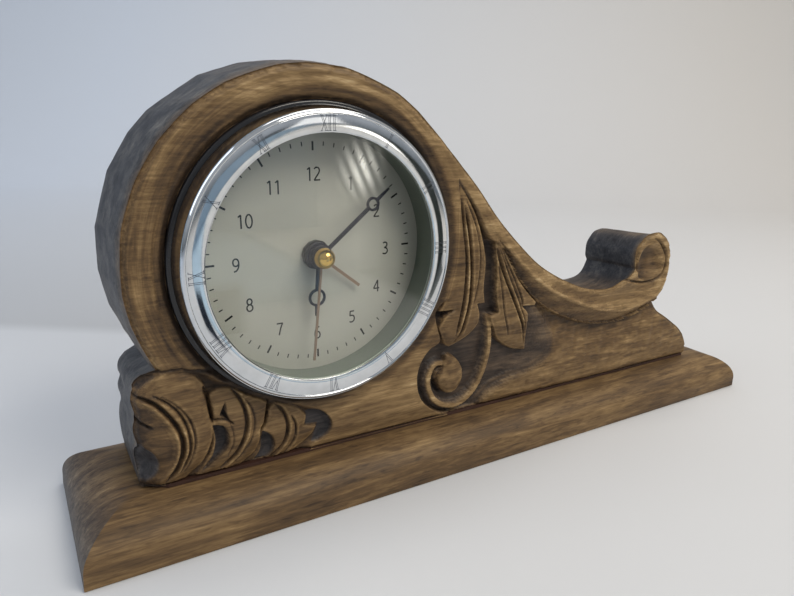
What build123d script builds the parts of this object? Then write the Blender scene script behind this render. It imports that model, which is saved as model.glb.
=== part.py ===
from build123d import *
import os
from math import cos, pi, radians, sin, sqrt, tan

os.makedirs("parts", exist_ok=True)

# Wooden desk clock with a round quartz alarm insert, in millimetres.
# Origin: middle of the plinth's underside. X runs to the right as seen from the front,
# Y runs from front to back, Z is up. The clock hands turn about an axis along Y.

# Plinth
plinth_length = 300
plinth_depth = 60
plinth_height = 16
plinth_edge = 4.4
plinth_moulding = 15.7

# Carved body
body_front = -18
body_back = 17
body_left = -132.5
body_right = 127
body_gap = 1
gap_inset = 1.2
drum_radius = 59
drum_shift = 1
edge_ease = 3.2
edge_slant = 38
sweep_angle = 45
valley_radius = 73
valley_height = 58
roll_x = 89.5
roll_rise = 11.5
roll_radius = 11
roll_crease_angle = 205
neck_x = 95.5
neck_height = 51
foot_bend_x = 111.5
foot_bend_height = 36.5
foot_edge_height = 21
foot_hollow = 3
foot_swell = 2.4
carve_depth = 4.5
corner_depth = 4
skirt_depth = 2.5
scallop_swell = 1.1
groove_width = 1.3
groove_depth = 1.6
stem_width = 1.8
stem_drop = 0.8
volute_radius = 7.2
volute_drop = 1.4

# Clock insert: axis of the hands, bezel and housing
axis_x = -74.5
axis_height = 83
insert_front = -24
can_radius = 41.5
can_wall = 1.5
can_floor = 1.5
can_back = 12
bore_clearance = 0.2
flange_width = 2.7
flange_thickness = 1
bezel_clearance = 0.1
bezel_wall = 0.7
bezel_lip_width = 1.5
bezel_band_width = 5.9
bezel_back = 3.6
bezel_round = 1.4
bezel_dish = 0.25
gasket_overhang = 2.2
gasket_play = 0.3
seat_clearance = 1.1
seat_depth = 2.5
cove_width = 4
lens_set = 0.9
lens_clearance = 0.5
lens_thickness = 1
hand_room = 10.4
dial_thickness = 0.5
dial_clearance = 0.2
reflector_clearance = 0.15
reflector_ledge = 0.2
reflector_slope = 0.6

# Hands and the time that they show
shown_time_shares = (6 / 12, 8 / 60, 31 / 60)
alarm_angle = 127
insert_turn = -1.7
hour_hand_length = 19.5
hour_ring_at = 13.5
hour_ring_radius = 2.9
hour_bar = 1.5
hour_boss_radius = 4.2
minute_hand_length = 31.5
minute_ring_at = 24
minute_ring_radius = 2.3
minute_bar = 1.3
minute_boss_radius = 3.4
second_hand_length = 34
second_tail = 8
second_bar = 0.8
second_disc_radius = 2.5
alarm_hand_length = 18.7
alarm_bar = 1
alarm_boss_radius = 3.6
ring_rim = 0.8
ball_radius = 3.3
ball_seat = 1.7
hand_sheet = 0.4
boss_thickness = 0.9
hand_gap = 0.3

# Pipes of the hands, from the inside out
arbor_radius = 0.5
second_arbor_radius = 0.55
running = 0.05
pipe_wall = 0.55
bush_wall = 0.95
nut_radius = 4.7
nut_thickness = 1.2
dial_hole_play = 0.1

# Movement case
case_width = 57
case_top = 26
case_bottom = -27
case_corner = 3.5
case_wall = 1.3
case_front_wall = 1.4
case_back_wall = 1.5
front_case_depth = 9.7
case_depth = 17.9
divider_top = -9.3
post_radius = 2
post_inset = 5.9
low_post_inset = 3.5
low_post_height = -6
screw_radius = 0.9
screw_head_radius = 1.7
screw_head = 0.8
screw_length = 12
pivot_depth = 0.9
pivot_boss = 1.4
pivot_boss_height = 1.2

# Wheel train: centre distances and tooth counts
train_distance = 8.64
third_angle = 150
motion_angle = 30
intermediate_distance = 8.6
rotor_distance = 6.6
alarm_distance = 9.6
alarm_knob_angle = 218
time_knob_angle = 0
second_pinion_teeth = 8
third_wheel_teeth = 60
third_pinion_teeth = 8
centre_wheel_teeth = 64
cannon_pinion_teeth = 12
motion_wheel_teeth = 36
motion_pinion_teeth = 10
hour_wheel_teeth = 40
intermediate_pinion_teeth = 8
second_wheel_teeth = 48
rotor_pinion_teeth = 8
intermediate_wheel_teeth = 40
alarm_pinion_teeth = 12
alarm_wheel_teeth = 36
time_pinion_teeth = 12
tip_share = 0.8
root_share = 1.15
root_width_share = 0.29
tip_width_share = 0.11
wheel_sheet = 0.7
sheet_gap = 0.4
alarm_wheel_set = 0.4
magnet_radius = 2.1
magnet_thickness = 2
magnet_front = -0.4
third_wheel_front = -0.5
second_wheel_front = 1.5
intermediate_wheel_front = 3.2
pinion_overhang = 0.5

# Electrical pieces
stator_width = 30
stator_bottom = 12
stator_top = 23.6
stator_sheet = 0.8
stator_front = 0.2
stator_hole = 2.6
stator_neck = 0.35
stator_leg = 3.4
coil_height = 21.3
coil_length = 22
coil_radius = 2.7
bobbin_radius = 3
bobbin_core = 1.7
bobbin_flange = 0.8
core_thickness = 0.8
core_height = 1.6
board_width = 10
board_height = 21
board_x = -16.5
board_bottom = -3
board_sheet = 0.8
board_back = 5.4
board_post_radius = 1.2
board_post_inset = 2
chip_size = 5
chip_thickness = 1
chip_height = 4
crystal_radius = 1
crystal_length = 6.4
crystal_height = 12
buzzer_x = -17
buzzer_height = 12.5
buzzer_radius = 6.5
buzzer_thickness = 3.2
contact_sheet = 0.2
contact_width = 1.6
contact_post_x = 14
contact_post_height = -5.6
contact_tip_x = 4.4
contact_tip_height = -1.7
contact_post_radius = 1.1
battery_length = 49.5
battery_radius = 7.1
battery_nub = 1
battery_nub_radius = 2.75
battery_play = 0.25
battery_contact_width = 9
battery_contact_sheet = 0.4
battery_spring_radius = 3

# Battery door, knobs and alarm switch at the back
door_play = 0.3
door_sheet = 1.2
door_height = 13.6
door_lip = 1
door_grip_width = 12
door_grip_height = 1
door_grip_depth = 0.6
hinge_radius = 0.9
hinge_pin_radius = 0.45
hinge_pin_length = 1.2
knob_arbor_radius = 1.2
knob_radius = 4.2
knob_thickness = 4.6
knob_gap = 0.3
knob_flutes = 18
knob_flute_radius = 0.35
switch_x = 15
switch_height = 16
switch_travel = 4
switch_button_width = 3.6
switch_button_height = 2
switch_button_depth = 2
switch_plate_margin = 1.5
switch_plate_sheet = 0.8
switch_gap = 0.2

# Plinth screws
plinth_screw_places = (-105, -45, 25, 90)
plinth_screw_radius = 2
plinth_screw_head_radius = 4
plinth_screw_countersink = 82
plinth_screw_reach = 14

# One overrun serves every cut
overrun = 1

# Sizes worked out from the ones above
roll_height = valley_height + roll_rise
body_foot = plinth_height + body_gap
body_length = body_right - body_left
body_depth = body_back - body_front
drum_x = axis_x - drum_shift
drum_top = axis_height + drum_radius
body_height = drum_top - body_foot
lens_front = insert_front + lens_set
lens_back = lens_front + lens_thickness
dial_front = lens_back + hand_room
dial_back = dial_front + dial_thickness
case_front = dial_back + can_floor
case_inside = case_front + case_front_wall
case_split = case_front + front_case_depth
case_back = case_front + case_depth
case_back_inside = case_back - case_back_wall
seat_floor = body_front + seat_depth
bezel_back_edge = insert_front + bezel_back
can_inner_radius = can_radius - can_wall
bore_radius = can_radius + bore_clearance
flange_radius = can_radius + flange_width
gasket_radius = flange_radius + gasket_overhang
seat_radius = gasket_radius + seat_clearance
bezel_inner_radius = flange_radius + bezel_clearance
bezel_radius = bezel_inner_radius + bezel_wall
bezel_lip_radius = bezel_radius - bezel_lip_width
bezel_band_radius = bezel_lip_radius - bezel_band_width
lens_radius = can_inner_radius - lens_clearance
dial_radius = can_inner_radius - dial_clearance
reflector_outer_radius = can_inner_radius - reflector_clearance
reflector_front_radius = bezel_band_radius + reflector_ledge
reflector_back_radius = reflector_front_radius + reflector_slope

cannon_bore = second_arbor_radius + running
cannon_radius = cannon_bore + 2 * pipe_wall
cannon_neck_radius = cannon_bore + pipe_wall
hour_pipe_bore = cannon_radius + running
hour_pipe_radius = hour_pipe_bore + pipe_wall
alarm_pipe_bore = hour_pipe_radius + running
alarm_pipe_radius = alarm_pipe_bore + pipe_wall
bush_bore = alarm_pipe_radius + running
bush_radius = bush_bore + bush_wall

nut_front = dial_front - nut_thickness
bush_front = nut_front - dial_hole_play
alarm_hand_back = bush_front - hand_gap
alarm_hand_front = alarm_hand_back - hand_sheet
hour_boss_back = alarm_hand_front - hand_gap
hour_boss_front = hour_boss_back - boss_thickness
minute_boss_back = hour_boss_front - hand_gap
minute_boss_front = minute_boss_back - boss_thickness
second_hand_back = minute_boss_front - hand_gap
second_hand_front = second_hand_back - hand_sheet
ball_y = second_hand_front - ball_seat
second_arbor_front = second_hand_front - ball_seat / 2

alarm_wheel_front = case_inside + alarm_wheel_set
hour_wheel_front = alarm_wheel_front + wheel_sheet + sheet_gap
contact_front = hour_wheel_front + wheel_sheet + contact_sheet
motion_wheel_front = contact_front + contact_sheet + contact_sheet
cannon_pinion_back = motion_wheel_front + wheel_sheet + sheet_gap
centre_wheel_front = cannon_pinion_back + contact_sheet
cannon_neck_back = centre_wheel_front + 2 * wheel_sheet

# Each hand's share of a turn, with what the faster hands add
hour_share, minute_share, second_share = shown_time_shares
minute_share += second_share / 60
hour_share += minute_share / 12
hour_angle = insert_turn + 360 * hour_share
minute_angle = insert_turn + 360 * minute_share
second_angle = insert_turn + 360 * second_share


# Planes and simple turned solids


def facing(y):
    """Plane at depth y that faces the viewer, with its origin on the hand axis."""
    return Plane((axis_x, y, axis_height), x_dir=(1, 0, 0), z_dir=(0, -1, 0))


def facing_body(y):
    """Plane at depth y that faces the viewer, with X and Z of the whole clock as its own."""
    return Plane((0, y, 0), x_dir=(1, 0, 0), z_dir=(0, -1, 0))


def facing_hand(y, clock_angle):
    """Plane at depth y whose upward direction points to a clock angle."""
    turn = radians(clock_angle)
    return Plane((axis_x, y, axis_height), x_dir=(cos(turn), 0, -sin(turn)), z_dir=(0, -1, 0))


half_section = Plane((axis_x, 0, axis_height), x_dir=(1, 0, 0), z_dir=(0, 0, 1))
hand_axis = Axis((axis_x, 0, axis_height), (0, 1, 0))


def around(distance, angle, start=(0, 0)):
    """Point at a distance and an angle, anticlockwise from the right, from a start."""
    return (start[0] + distance * cos(radians(angle)), start[1] + distance * sin(radians(angle)))


def bar(at, radius, front, back, mode=Mode.ADD):
    """Round bar or round hole along Y, from the front depth to the back depth."""
    with BuildSketch(facing(back)) as section:
        with Locations(at):
            Circle(radius)
    extrude(section.sketch, amount=back - front, mode=mode)


def cross_bar(left, right, height, y, radius, mode=Mode.ADD):
    """Round bar or round hole along X, at a height above the hand axis and at a depth."""
    side = Plane((axis_x + left, y, axis_height + height), x_dir=(0, 1, 0), z_dir=(1, 0, 0))
    with BuildSketch(side) as section:
        Circle(radius)
    extrude(section.sketch, amount=right - left, mode=mode)


def block(left, right, bottom, top, front, back, mode=Mode.ADD):
    """Square block given by its sides, measured from the hand axis."""
    with BuildSketch(facing(back)) as section:
        with Locations(((left + right) / 2, (bottom + top) / 2)):
            Rectangle(right - left, top - bottom)
    extrude(section.sketch, amount=back - front, mode=mode)


def gear(at, teeth, pitch_radius, turn, front, back):
    """Toothed wheel with straight-sided teeth, one tooth pointing to the angle turn."""
    step = 2 * pi / teeth
    module = 2 * pitch_radius / teeth
    root = pitch_radius - root_share * module
    tip = pitch_radius + tip_share * module
    outline = []
    for tooth in range(teeth):
        middle = radians(turn) + tooth * step
        left_flank = ((root, -root_width_share), (tip, -tip_width_share))
        right_flank = ((tip, tip_width_share), (root, root_width_share))
        for radius, share in left_flank + right_flank:
            outline.append((radius * cos(middle + share * step), radius * sin(middle + share * step)))
    with BuildSketch(facing(back)) as section:
        with Locations(at):
            Polygon(*outline, align=None)
    extrude(section.sketch, amount=back - front)


def meshed_turn(turn, teeth, direction, other_teeth):
    """Turn of the second wheel of a pair, so that its teeth sit in the gaps of the first."""
    shift = (direction - turn) * teeth / 360
    return direction + 180 + 360 / other_teeth * (0.5 + shift)


def pair_radii(distance, teeth, other_teeth):
    """Pitch radii of two wheels that mesh at a centre distance."""
    return distance * teeth / (teeth + other_teeth), distance * other_teeth / (teeth + other_teeth)


# Places of the arbors, seen from the front and measured from the hand axis
hand_place = (0, 0)
third_place = around(train_distance, third_angle)
motion_place = around(train_distance, motion_angle)
intermediate_place = (0, intermediate_distance)
rotor_place = (0, intermediate_distance + rotor_distance)
alarm_knob_place = around(alarm_distance, alarm_knob_angle)

second_pinion_radius, third_wheel_radius = pair_radii(train_distance, second_pinion_teeth, third_wheel_teeth)
third_pinion_radius, centre_wheel_radius = pair_radii(train_distance, third_pinion_teeth, centre_wheel_teeth)
cannon_pinion_radius, motion_wheel_radius = pair_radii(
    train_distance, cannon_pinion_teeth, motion_wheel_teeth
)
motion_pinion_radius, hour_wheel_radius = pair_radii(train_distance, motion_pinion_teeth, hour_wheel_teeth)
intermediate_pinion_radius, second_wheel_radius = pair_radii(
    intermediate_distance, intermediate_pinion_teeth, second_wheel_teeth
)
rotor_pinion_radius, intermediate_wheel_radius = pair_radii(
    rotor_distance, rotor_pinion_teeth, intermediate_wheel_teeth
)
alarm_pinion_radius, alarm_wheel_radius = pair_radii(alarm_distance, alarm_pinion_teeth, alarm_wheel_teeth)
time_pinion_radius = motion_wheel_radius * time_pinion_teeth / motion_wheel_teeth
time_knob_place = around(motion_wheel_radius + time_pinion_radius, time_knob_angle, motion_place)

pivot_front = case_inside - pivot_depth


# Plinth: the same moulding on all four sides, mitred at the corners
def moulded_end(half_length):
    """Half of the plinth's outline, from the middle of its foot to the middle of its top."""
    inner = half_length - plinth_moulding
    rise = plinth_height - plinth_edge
    with BuildLine() as edge:
        Line((0, 0), (half_length, 0))
        Line((half_length, 0), (half_length, plinth_edge))
        EllipticalCenterArc((inner, plinth_edge), plinth_moulding, rise, start_angle=0, arc_size=90)
        Line((inner, plinth_height), (0, plinth_height))
        Line((0, plinth_height), (0, 0))
    return edge.line


with BuildPart() as plinth:
    with BuildSketch(facing_body(plinth_depth / 2)) as long_profile:
        add(moulded_end(plinth_length / 2))
        make_face()
        mirror(about=Plane.YZ)
    extrude(amount=plinth_depth)
    with BuildSketch(Plane((-plinth_length / 2, 0, 0), x_dir=(0, 1, 0), z_dir=(1, 0, 0))) as short_profile:
        add(moulded_end(plinth_depth / 2))
        make_face()
        mirror(about=Plane.YZ)
    extrude(amount=plinth_length, mode=Mode.INTERSECT)
    with Locations([(x, 0, 0) for x in plinth_screw_places]):
        with Locations(Rotation(180, 0, 0)):
            CounterSinkHole(
                plinth_screw_radius + running,
                plinth_screw_head_radius + running,
                depth=plinth_height + overrun,
                counter_sink_angle=plinth_screw_countersink,
            )
plinth.part.label = "plinth"
export_step(plinth.part, "parts/plinth.step")


# Carved body: outlines are shares of the body's length and height, from its lower left corner
def on_body(share):
    """Point of the body's front, from its shares of the body's length and height."""
    return (body_left + share[0] * body_length, body_foot + share[1] * body_height)


def shape_of(strokes):
    """Closed outline from strokes: two points make a line, more make a curve."""
    with BuildLine() as outline:
        for stroke in strokes:
            points = [on_body(share) for share in stroke]
            if len(points) > 2:
                Spline(*points)
            else:
                Line(*points)
    return outline.line


def relief(strokes, back, front, mode=Mode.ADD):
    """Flat carved piece, or a sunk field, between two depths."""
    with BuildSketch(facing_body(back)) as section:
        add(shape_of(strokes))
        make_face()
    extrude(section.sketch, amount=back - front, mode=mode)


def groove(shares, front):
    """Narrow groove along a curve, cut in from the depth front."""
    with BuildSketch(facing_body(front + groove_depth)) as section:
        with BuildLine() as path:
            Spline(*[on_body(share) for share in shares])
        trace(path.line, line_width=groove_width)
    extrude(section.sketch, amount=groove_depth + overrun, mode=Mode.SUBTRACT)


side_notch_shares = (0, 0.154, 0.232, 0.306)
field_shares = (
    ((0.416, 0.708), (0.411, 0.64), (0.414, 0.53), (0.41, 0.42), (0.399, 0.35), (0.382, 0.235)),
    ((0.382, 0.235), (0.372, 0.17), (0.373, 0.112), (0.386, 0.06), (0.412, 0.022)),
    ((0.412, 0.022), (0.45, 0.014), (0.49, 0.035), (0.515, 0.072)),
    ((0.515, 0.072), (1.02, 0.072)),
    ((1.02, 0.072), (1.02, 0.272)),
    ((1.02, 0.272), (0.879, 0.272)),
    ((0.879, 0.272), (0.85, 0.255), (0.789, 0.238), (0.716, 0.259), (0.655, 0.288), (0.611, 0.323)),
    ((0.611, 0.323), (0.576, 0.37), (0.544, 0.442), (0.518, 0.51), (0.48, 0.58), (0.416, 0.708)),
)
skirt_shares = (
    ((0.412, -0.01), (1.02, -0.01)),
    ((1.02, -0.01), (1.02, 0.074)),
    ((1.02, 0.074), (0.515, 0.074)),
    ((0.515, 0.074), (0.49, 0.036), (0.45, 0.015), (0.412, 0.022)),
    ((0.412, 0.022), (0.412, -0.01)),
)
corner_shares = (
    ((-0.01, -0.01), (0.26, -0.01)),
    ((0.26, -0.01), (0.262, 0.06), (0.245, 0.11), (0.215, 0.15), (0.17, 0.175)),
    ((0.17, 0.175), (0.14, 0.2), (0.105, 0.23), (0.08, 0.27), (0.06, 0.3)),
    ((0.06, 0.3), (-0.01, 0.31)),
    ((-0.01, 0.31), (-0.01, -0.01)),
)
long_leaf_shares = (
    ((0.421, 0.706), (0.449, 0.609), (0.473, 0.477), (0.483, 0.349)),
    ((0.483, 0.349), (0.469, 0.346)),
    ((0.469, 0.346), (0.473, 0.318), (0.452, 0.246), (0.422, 0.222)),
    ((0.422, 0.222), (0.41, 0.25), (0.405, 0.285), (0.408, 0.304)),
    ((0.408, 0.304), (0.427, 0.34)),
    ((0.427, 0.34), (0.402, 0.338)),
    ((0.402, 0.338), (0.423, 0.43), (0.426, 0.485), (0.425, 0.552), (0.42, 0.63), (0.421, 0.706)),
)
short_leaf_shares = (
    ((0.492, 0.548), (0.494, 0.485), (0.506, 0.365), (0.512, 0.302)),
    ((0.512, 0.302), (0.504, 0.286)),
    ((0.504, 0.286), (0.507, 0.24), (0.548, 0.174), (0.571, 0.166)),
    ((0.571, 0.166), (0.576, 0.2), (0.574, 0.253), (0.58, 0.29)),
    ((0.58, 0.29), (0.583, 0.314)),
    ((0.583, 0.314), (0.555, 0.383), (0.532, 0.454), (0.507, 0.518), (0.492, 0.548)),
)
large_lobe_shares = (
    ((-0.002, 0.236), (0.008, 0.251), (0.024, 0.279), (0.04, 0.285), (0.058, 0.277), (0.073, 0.253)),
    ((0.073, 0.253), (0.081, 0.219)),
    ((0.081, 0.219), (0.086, 0.15), (0.083, 0.07), (0.065, 0.0)),
    ((0.065, 0.0), (0.02, 0.0)),
    ((0.02, 0.0), (0.025, 0.03), (0.023, 0.068), (0.012, 0.1), (-0.002, 0.116)),
    ((-0.002, 0.116), (-0.002, 0.236)),
)
middle_lobe_shares = (
    ((0.087, 0.213), (0.096, 0.224), (0.113, 0.218), (0.127, 0.176), (0.132, 0.125), (0.11, 0.0)),
    ((0.11, 0.0), (0.075, 0.0)),
    ((0.075, 0.0), (0.098, 0.048), (0.104, 0.085), (0.099, 0.126), (0.09, 0.142)),
    ((0.09, 0.142), (0.087, 0.213)),
)
small_lobe_shares = (
    ((0.15, 0.165), (0.164, 0.156), (0.177, 0.129), (0.189, 0.085), (0.188, 0.04), (0.178, 0.0)),
    ((0.178, 0.0), (0.135, 0.0)),
    ((0.135, 0.0), (0.158, 0.035), (0.159, 0.071), (0.148, 0.097)),
    ((0.148, 0.097), (0.15, 0.165)),
)
last_lobe_shares = (
    ((0.178, 0.135), (0.19, 0.13), (0.205, 0.114), (0.215, 0.067), (0.209, 0.028), (0.196, 0.0)),
    ((0.196, 0.0), (0.186, 0.0)),
    ((0.186, 0.0), (0.194, 0.045), (0.192, 0.09), (0.178, 0.135)),
)
groove_shares = (
    ((0.427, 0.632), (0.437, 0.55), (0.442, 0.465), (0.442, 0.38), (0.438, 0.29), (0.431, 0.265)),
    ((0.438, 0.631), (0.443, 0.549), (0.45, 0.458), (0.452, 0.377), (0.448, 0.3), (0.442, 0.26)),
    ((0.498, 0.49), (0.516, 0.41), (0.536, 0.307), (0.548, 0.228)),
    ((0.509, 0.482), (0.53, 0.395), (0.553, 0.29), (0.567, 0.195)),
    ((0.023, 0.245), (0.044, 0.204), (0.059, 0.156), (0.062, 0.106), (0.059, 0.065), (0.052, 0.031)),
    ((0.006, 0.239), (0.022, 0.214), (0.036, 0.176), (0.046, 0.13), (0.049, 0.086), (0.044, 0.041)),
    ((0.108, 0.2), (0.119, 0.15), (0.119, 0.1), (0.112, 0.05)),
)
stem_shares = (
    (0.494, 0.285), (0.505, 0.221), (0.503, 0.145), (0.491, 0.078), (0.471, 0.03), (0.447, 0.014),
    (0.429, 0.018), (0.411, 0.042), (0.397, 0.098), (0.397, 0.147), (0.407, 0.174), (0.419, 0.193),
)
volute_share = (0.4305, 0.125)

tangent_x = drum_x + drum_radius * cos(radians(sweep_angle))
tangent_height = axis_height + drum_radius * sin(radians(sweep_angle))
slope_end_height = valley_height + valley_radius * (1 - cos(radians(sweep_angle)))
slope_end_x = tangent_x + (tangent_height - slope_end_height) / tan(radians(sweep_angle))
valley_x = slope_end_x + valley_radius * sin(radians(sweep_angle))
crease = around(roll_radius, roll_crease_angle, (roll_x, roll_height))
notch_height = on_body((0, side_notch_shares[-1]))[1]
notch_x = drum_x - sqrt(drum_radius**2 - (axis_height - notch_height) ** 2)

with BuildPart() as case_body:
    with BuildSketch(facing_body(body_back)) as silhouette:
        with BuildLine():
            Line((body_right, body_foot), (body_left, body_foot))
            for low_share, high_share in zip(side_notch_shares, side_notch_shares[1:]):
                SagittaArc(on_body((0, low_share)), on_body((0, high_share)), scallop_swell)
            Line((body_left, notch_height), (notch_x, notch_height))
            drum_point = (drum_x, axis_height + drum_radius)
            ThreePointArc((notch_x, notch_height), drum_point, (tangent_x, tangent_height))
            Line((tangent_x, tangent_height), (slope_end_x, slope_end_height))
            TangentArc(
                (slope_end_x, slope_end_height),
                (valley_x, valley_height),
                tangent=(cos(radians(sweep_angle)), -sin(radians(sweep_angle))),
            )
            TangentArc((valley_x, valley_height), crease, tangent=(1, 0))
            ThreePointArc(crease, (roll_x, roll_height + roll_radius), (roll_x + roll_radius, roll_height))
            TangentArc((roll_x + roll_radius, roll_height), (neck_x, neck_height), tangent=(0, -1))
            SagittaArc((neck_x, neck_height), (foot_bend_x, foot_bend_height), -foot_hollow)
            SagittaArc((foot_bend_x, foot_bend_height), (body_right, foot_edge_height), foot_swell)
            Line((body_right, foot_edge_height), (body_right, body_foot))
        make_face()
    extrude(amount=body_depth - edge_ease)
    eased_edge = case_body.faces().sort_by(Axis.Y)[0]
    extrude(eased_edge, amount=edge_ease, taper=edge_slant)
    field_floor = body_front + carve_depth
    corner_floor = body_front + corner_depth
    relief(field_shares, field_floor, body_front - overrun, mode=Mode.SUBTRACT)
    relief(skirt_shares, body_front + skirt_depth, body_front - overrun, mode=Mode.SUBTRACT)
    relief(corner_shares, corner_floor, body_front - overrun, mode=Mode.SUBTRACT)
    relief(long_leaf_shares, field_floor, body_front)
    relief(short_leaf_shares, field_floor, body_front)
    relief(large_lobe_shares, corner_floor, body_front)
    relief(middle_lobe_shares, corner_floor, body_front)
    relief(small_lobe_shares, corner_floor, body_front)
    relief(last_lobe_shares, corner_floor, body_front)
    for shares in groove_shares:
        groove(shares, body_front)
    with BuildSketch(facing_body(field_floor)) as stem_section:
        with BuildLine() as stem_path:
            Spline(*[on_body(share) for share in stem_shares])
        trace(stem_path.line, line_width=stem_width)
    extrude(amount=carve_depth - stem_drop)
    with BuildSketch(facing_body(field_floor)) as volute_section:
        with Locations(on_body(volute_share)):
            Circle(volute_radius)
    extrude(amount=carve_depth - volute_drop)
    with BuildSketch(half_section) as bore_section:
        Polygon(
            (0, body_front - overrun),
            (seat_radius + cove_width, body_front - overrun),
            (seat_radius + cove_width, body_front),
            (seat_radius, seat_floor),
            (bore_radius, seat_floor),
            (bore_radius, body_back + overrun),
            (0, body_back + overrun),
            align=None,
        )
    revolve(axis=hand_axis, mode=Mode.SUBTRACT)
    with BuildSketch(Plane.XY.offset(plinth_height)) as sole:
        with Locations(((body_left + body_right) / 2, (body_front + skirt_depth + body_back) / 2)):
            Rectangle(body_length - 2 * gap_inset, body_depth - skirt_depth - 2 * gap_inset)
    extrude(amount=body_gap)
    with Locations([(x, 0, plinth_height) for x in plinth_screw_places]):
        with Locations(Rotation(180, 0, 0)):
            Hole(plinth_screw_radius + running, depth=plinth_screw_reach + body_gap)
case_body.part.label = "case_body"
export_step(case_body.part, "parts/case_body.step")


# Screws that hold the body on the plinth, from below
with BuildPart() as plinth_screws:
    head_overhang = plinth_screw_head_radius - plinth_screw_radius
    cone_height = head_overhang / tan(radians(plinth_screw_countersink / 2))
    for x in plinth_screw_places:
        with BuildSketch(Plane((x, 0, 0), x_dir=(1, 0, 0), z_dir=(0, -1, 0))):
            Polygon(
                (0, 0),
                (plinth_screw_head_radius, 0),
                (plinth_screw_radius, cone_height),
                (plinth_screw_radius, plinth_height + plinth_screw_reach - plinth_screw_radius),
                (0, plinth_height + plinth_screw_reach),
                align=None,
            )
        revolve(axis=Axis((x, 0, 0), (0, 0, 1)))
plinth_screws.part.label = "plinth_screws"
export_step(plinth_screws.part, "parts/plinth_screws.step")


# Clock insert: housing, seat ring, bezel, glass, inner wall and dial
def turned(points, mode=Mode.ADD):
    """Solid turned about the hand axis from (radius, depth) points."""
    with BuildSketch(half_section) as section:
        Polygon(*points, align=None)
    revolve(section.sketch, axis=hand_axis, mode=mode)


with BuildPart() as insert_can:
    turned(
        (
            (bush_radius + dial_hole_play, dial_back),
            (can_inner_radius, dial_back),
            (can_inner_radius, lens_back),
            (can_radius, lens_back),
            (can_radius, bezel_back_edge - flange_thickness),
            (flange_radius, bezel_back_edge - flange_thickness),
            (flange_radius, bezel_back_edge),
            (can_radius, bezel_back_edge),
            (can_radius, can_back),
            (can_inner_radius, can_back),
            (can_inner_radius, case_front),
            (bush_radius + dial_hole_play, case_front),
        )
    )
insert_can.part.label = "insert_can"
export_step(insert_can.part, "parts/insert_can.step")

with BuildPart() as gasket_ring:
    step = (gasket_radius - flange_radius) / 2
    gasket_inner_radius = can_radius + gasket_play
    turned(
        (
            (gasket_inner_radius, bezel_back_edge),
            (gasket_radius - step, bezel_back_edge),
            (gasket_radius, bezel_back_edge + step),
            (gasket_radius, seat_floor),
            (gasket_inner_radius, seat_floor),
        )
    )
gasket_ring.part.label = "gasket_ring"
export_step(gasket_ring.part, "parts/gasket_ring.step")

with BuildPart() as bezel:
    band_back = insert_front + bezel_dish + bezel_wall - running
    with BuildSketch(half_section):
        with BuildLine():
            Polyline(
                (bezel_radius, bezel_back_edge),
                (bezel_radius, insert_front + bezel_round),
            )
            Spline(
                (bezel_radius, insert_front + bezel_round),
                (bezel_radius - bezel_round / 3, insert_front + bezel_round / 3),
                (bezel_lip_radius, insert_front),
            )
            Polyline(
                (bezel_lip_radius, insert_front),
                (bezel_lip_radius - bezel_wall, insert_front + bezel_dish),
                (bezel_band_radius, insert_front + bezel_dish),
                (bezel_band_radius, band_back),
                (bezel_lip_radius - bezel_wall, band_back),
                (bezel_inner_radius, insert_front + bezel_round + bezel_wall / 2),
                (bezel_inner_radius, bezel_back_edge),
                (bezel_radius, bezel_back_edge),
            )
        make_face()
    revolve(axis=hand_axis)
bezel.part.label = "bezel"
export_step(bezel.part, "parts/bezel.step")

with BuildPart() as lens:
    bar((0, 0), lens_radius, lens_front, lens_back)
lens.part.label = "lens"
export_step(lens.part, "parts/lens.step")

with BuildPart() as reflector_ring:
    turned(
        (
            (reflector_front_radius, lens_back),
            (reflector_outer_radius, lens_back),
            (reflector_outer_radius, dial_front),
            (reflector_back_radius, dial_front),
        )
    )
reflector_ring.part.label = "reflector_ring"
export_step(reflector_ring.part, "parts/reflector_ring.step")

with BuildPart() as dial:
    bar((0, 0), dial_radius, dial_front, dial_back)
    bar((0, 0), bush_radius + dial_hole_play, dial_front - overrun, dial_back + overrun, mode=Mode.SUBTRACT)
dial.part.label = "dial"
export_step(dial.part, "parts/dial.step")

with BuildPart() as dial_nut:
    with BuildSketch(facing(dial_front)):
        RegularPolygon(nut_radius, 12)
        Circle(bush_radius + running, mode=Mode.SUBTRACT)
    extrude(amount=nut_thickness)
dial_nut.part.label = "dial_nut"
export_step(dial_nut.part, "parts/dial_nut.step")


# Hands
def hand_blade(clock_angle, front, back, length, width, ring_at, ring_radius):
    """Straight hand with a ring along it and a pointed end."""
    with BuildSketch(facing_hand(back, clock_angle)) as section:
        with Locations((0, ring_at / 2)):
            Rectangle(width, ring_at)
        Polygon(
            (-width / 2, ring_at), (width / 2, ring_at), (width / 4, length), (-width / 4, length), align=None
        )
        with Locations((0, ring_at)):
            Circle(ring_radius)
            Circle(ring_radius - ring_rim, mode=Mode.SUBTRACT)
    extrude(section.sketch, amount=back - front)


with BuildPart() as alarm_hand:
    with BuildSketch(facing_hand(alarm_hand_back, alarm_angle)):
        Circle(alarm_boss_radius)
        Polygon(
            (-alarm_bar / 2, 0),
            (alarm_bar / 2, 0),
            (alarm_bar / 2, alarm_hand_length),
            (-alarm_bar / 2, alarm_hand_length),
            align=None,
        )
        Circle(alarm_pipe_radius, mode=Mode.SUBTRACT)
    extrude(amount=hand_sheet)
alarm_hand.part.label = "alarm_hand"
export_step(alarm_hand.part, "parts/alarm_hand.step")

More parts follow.
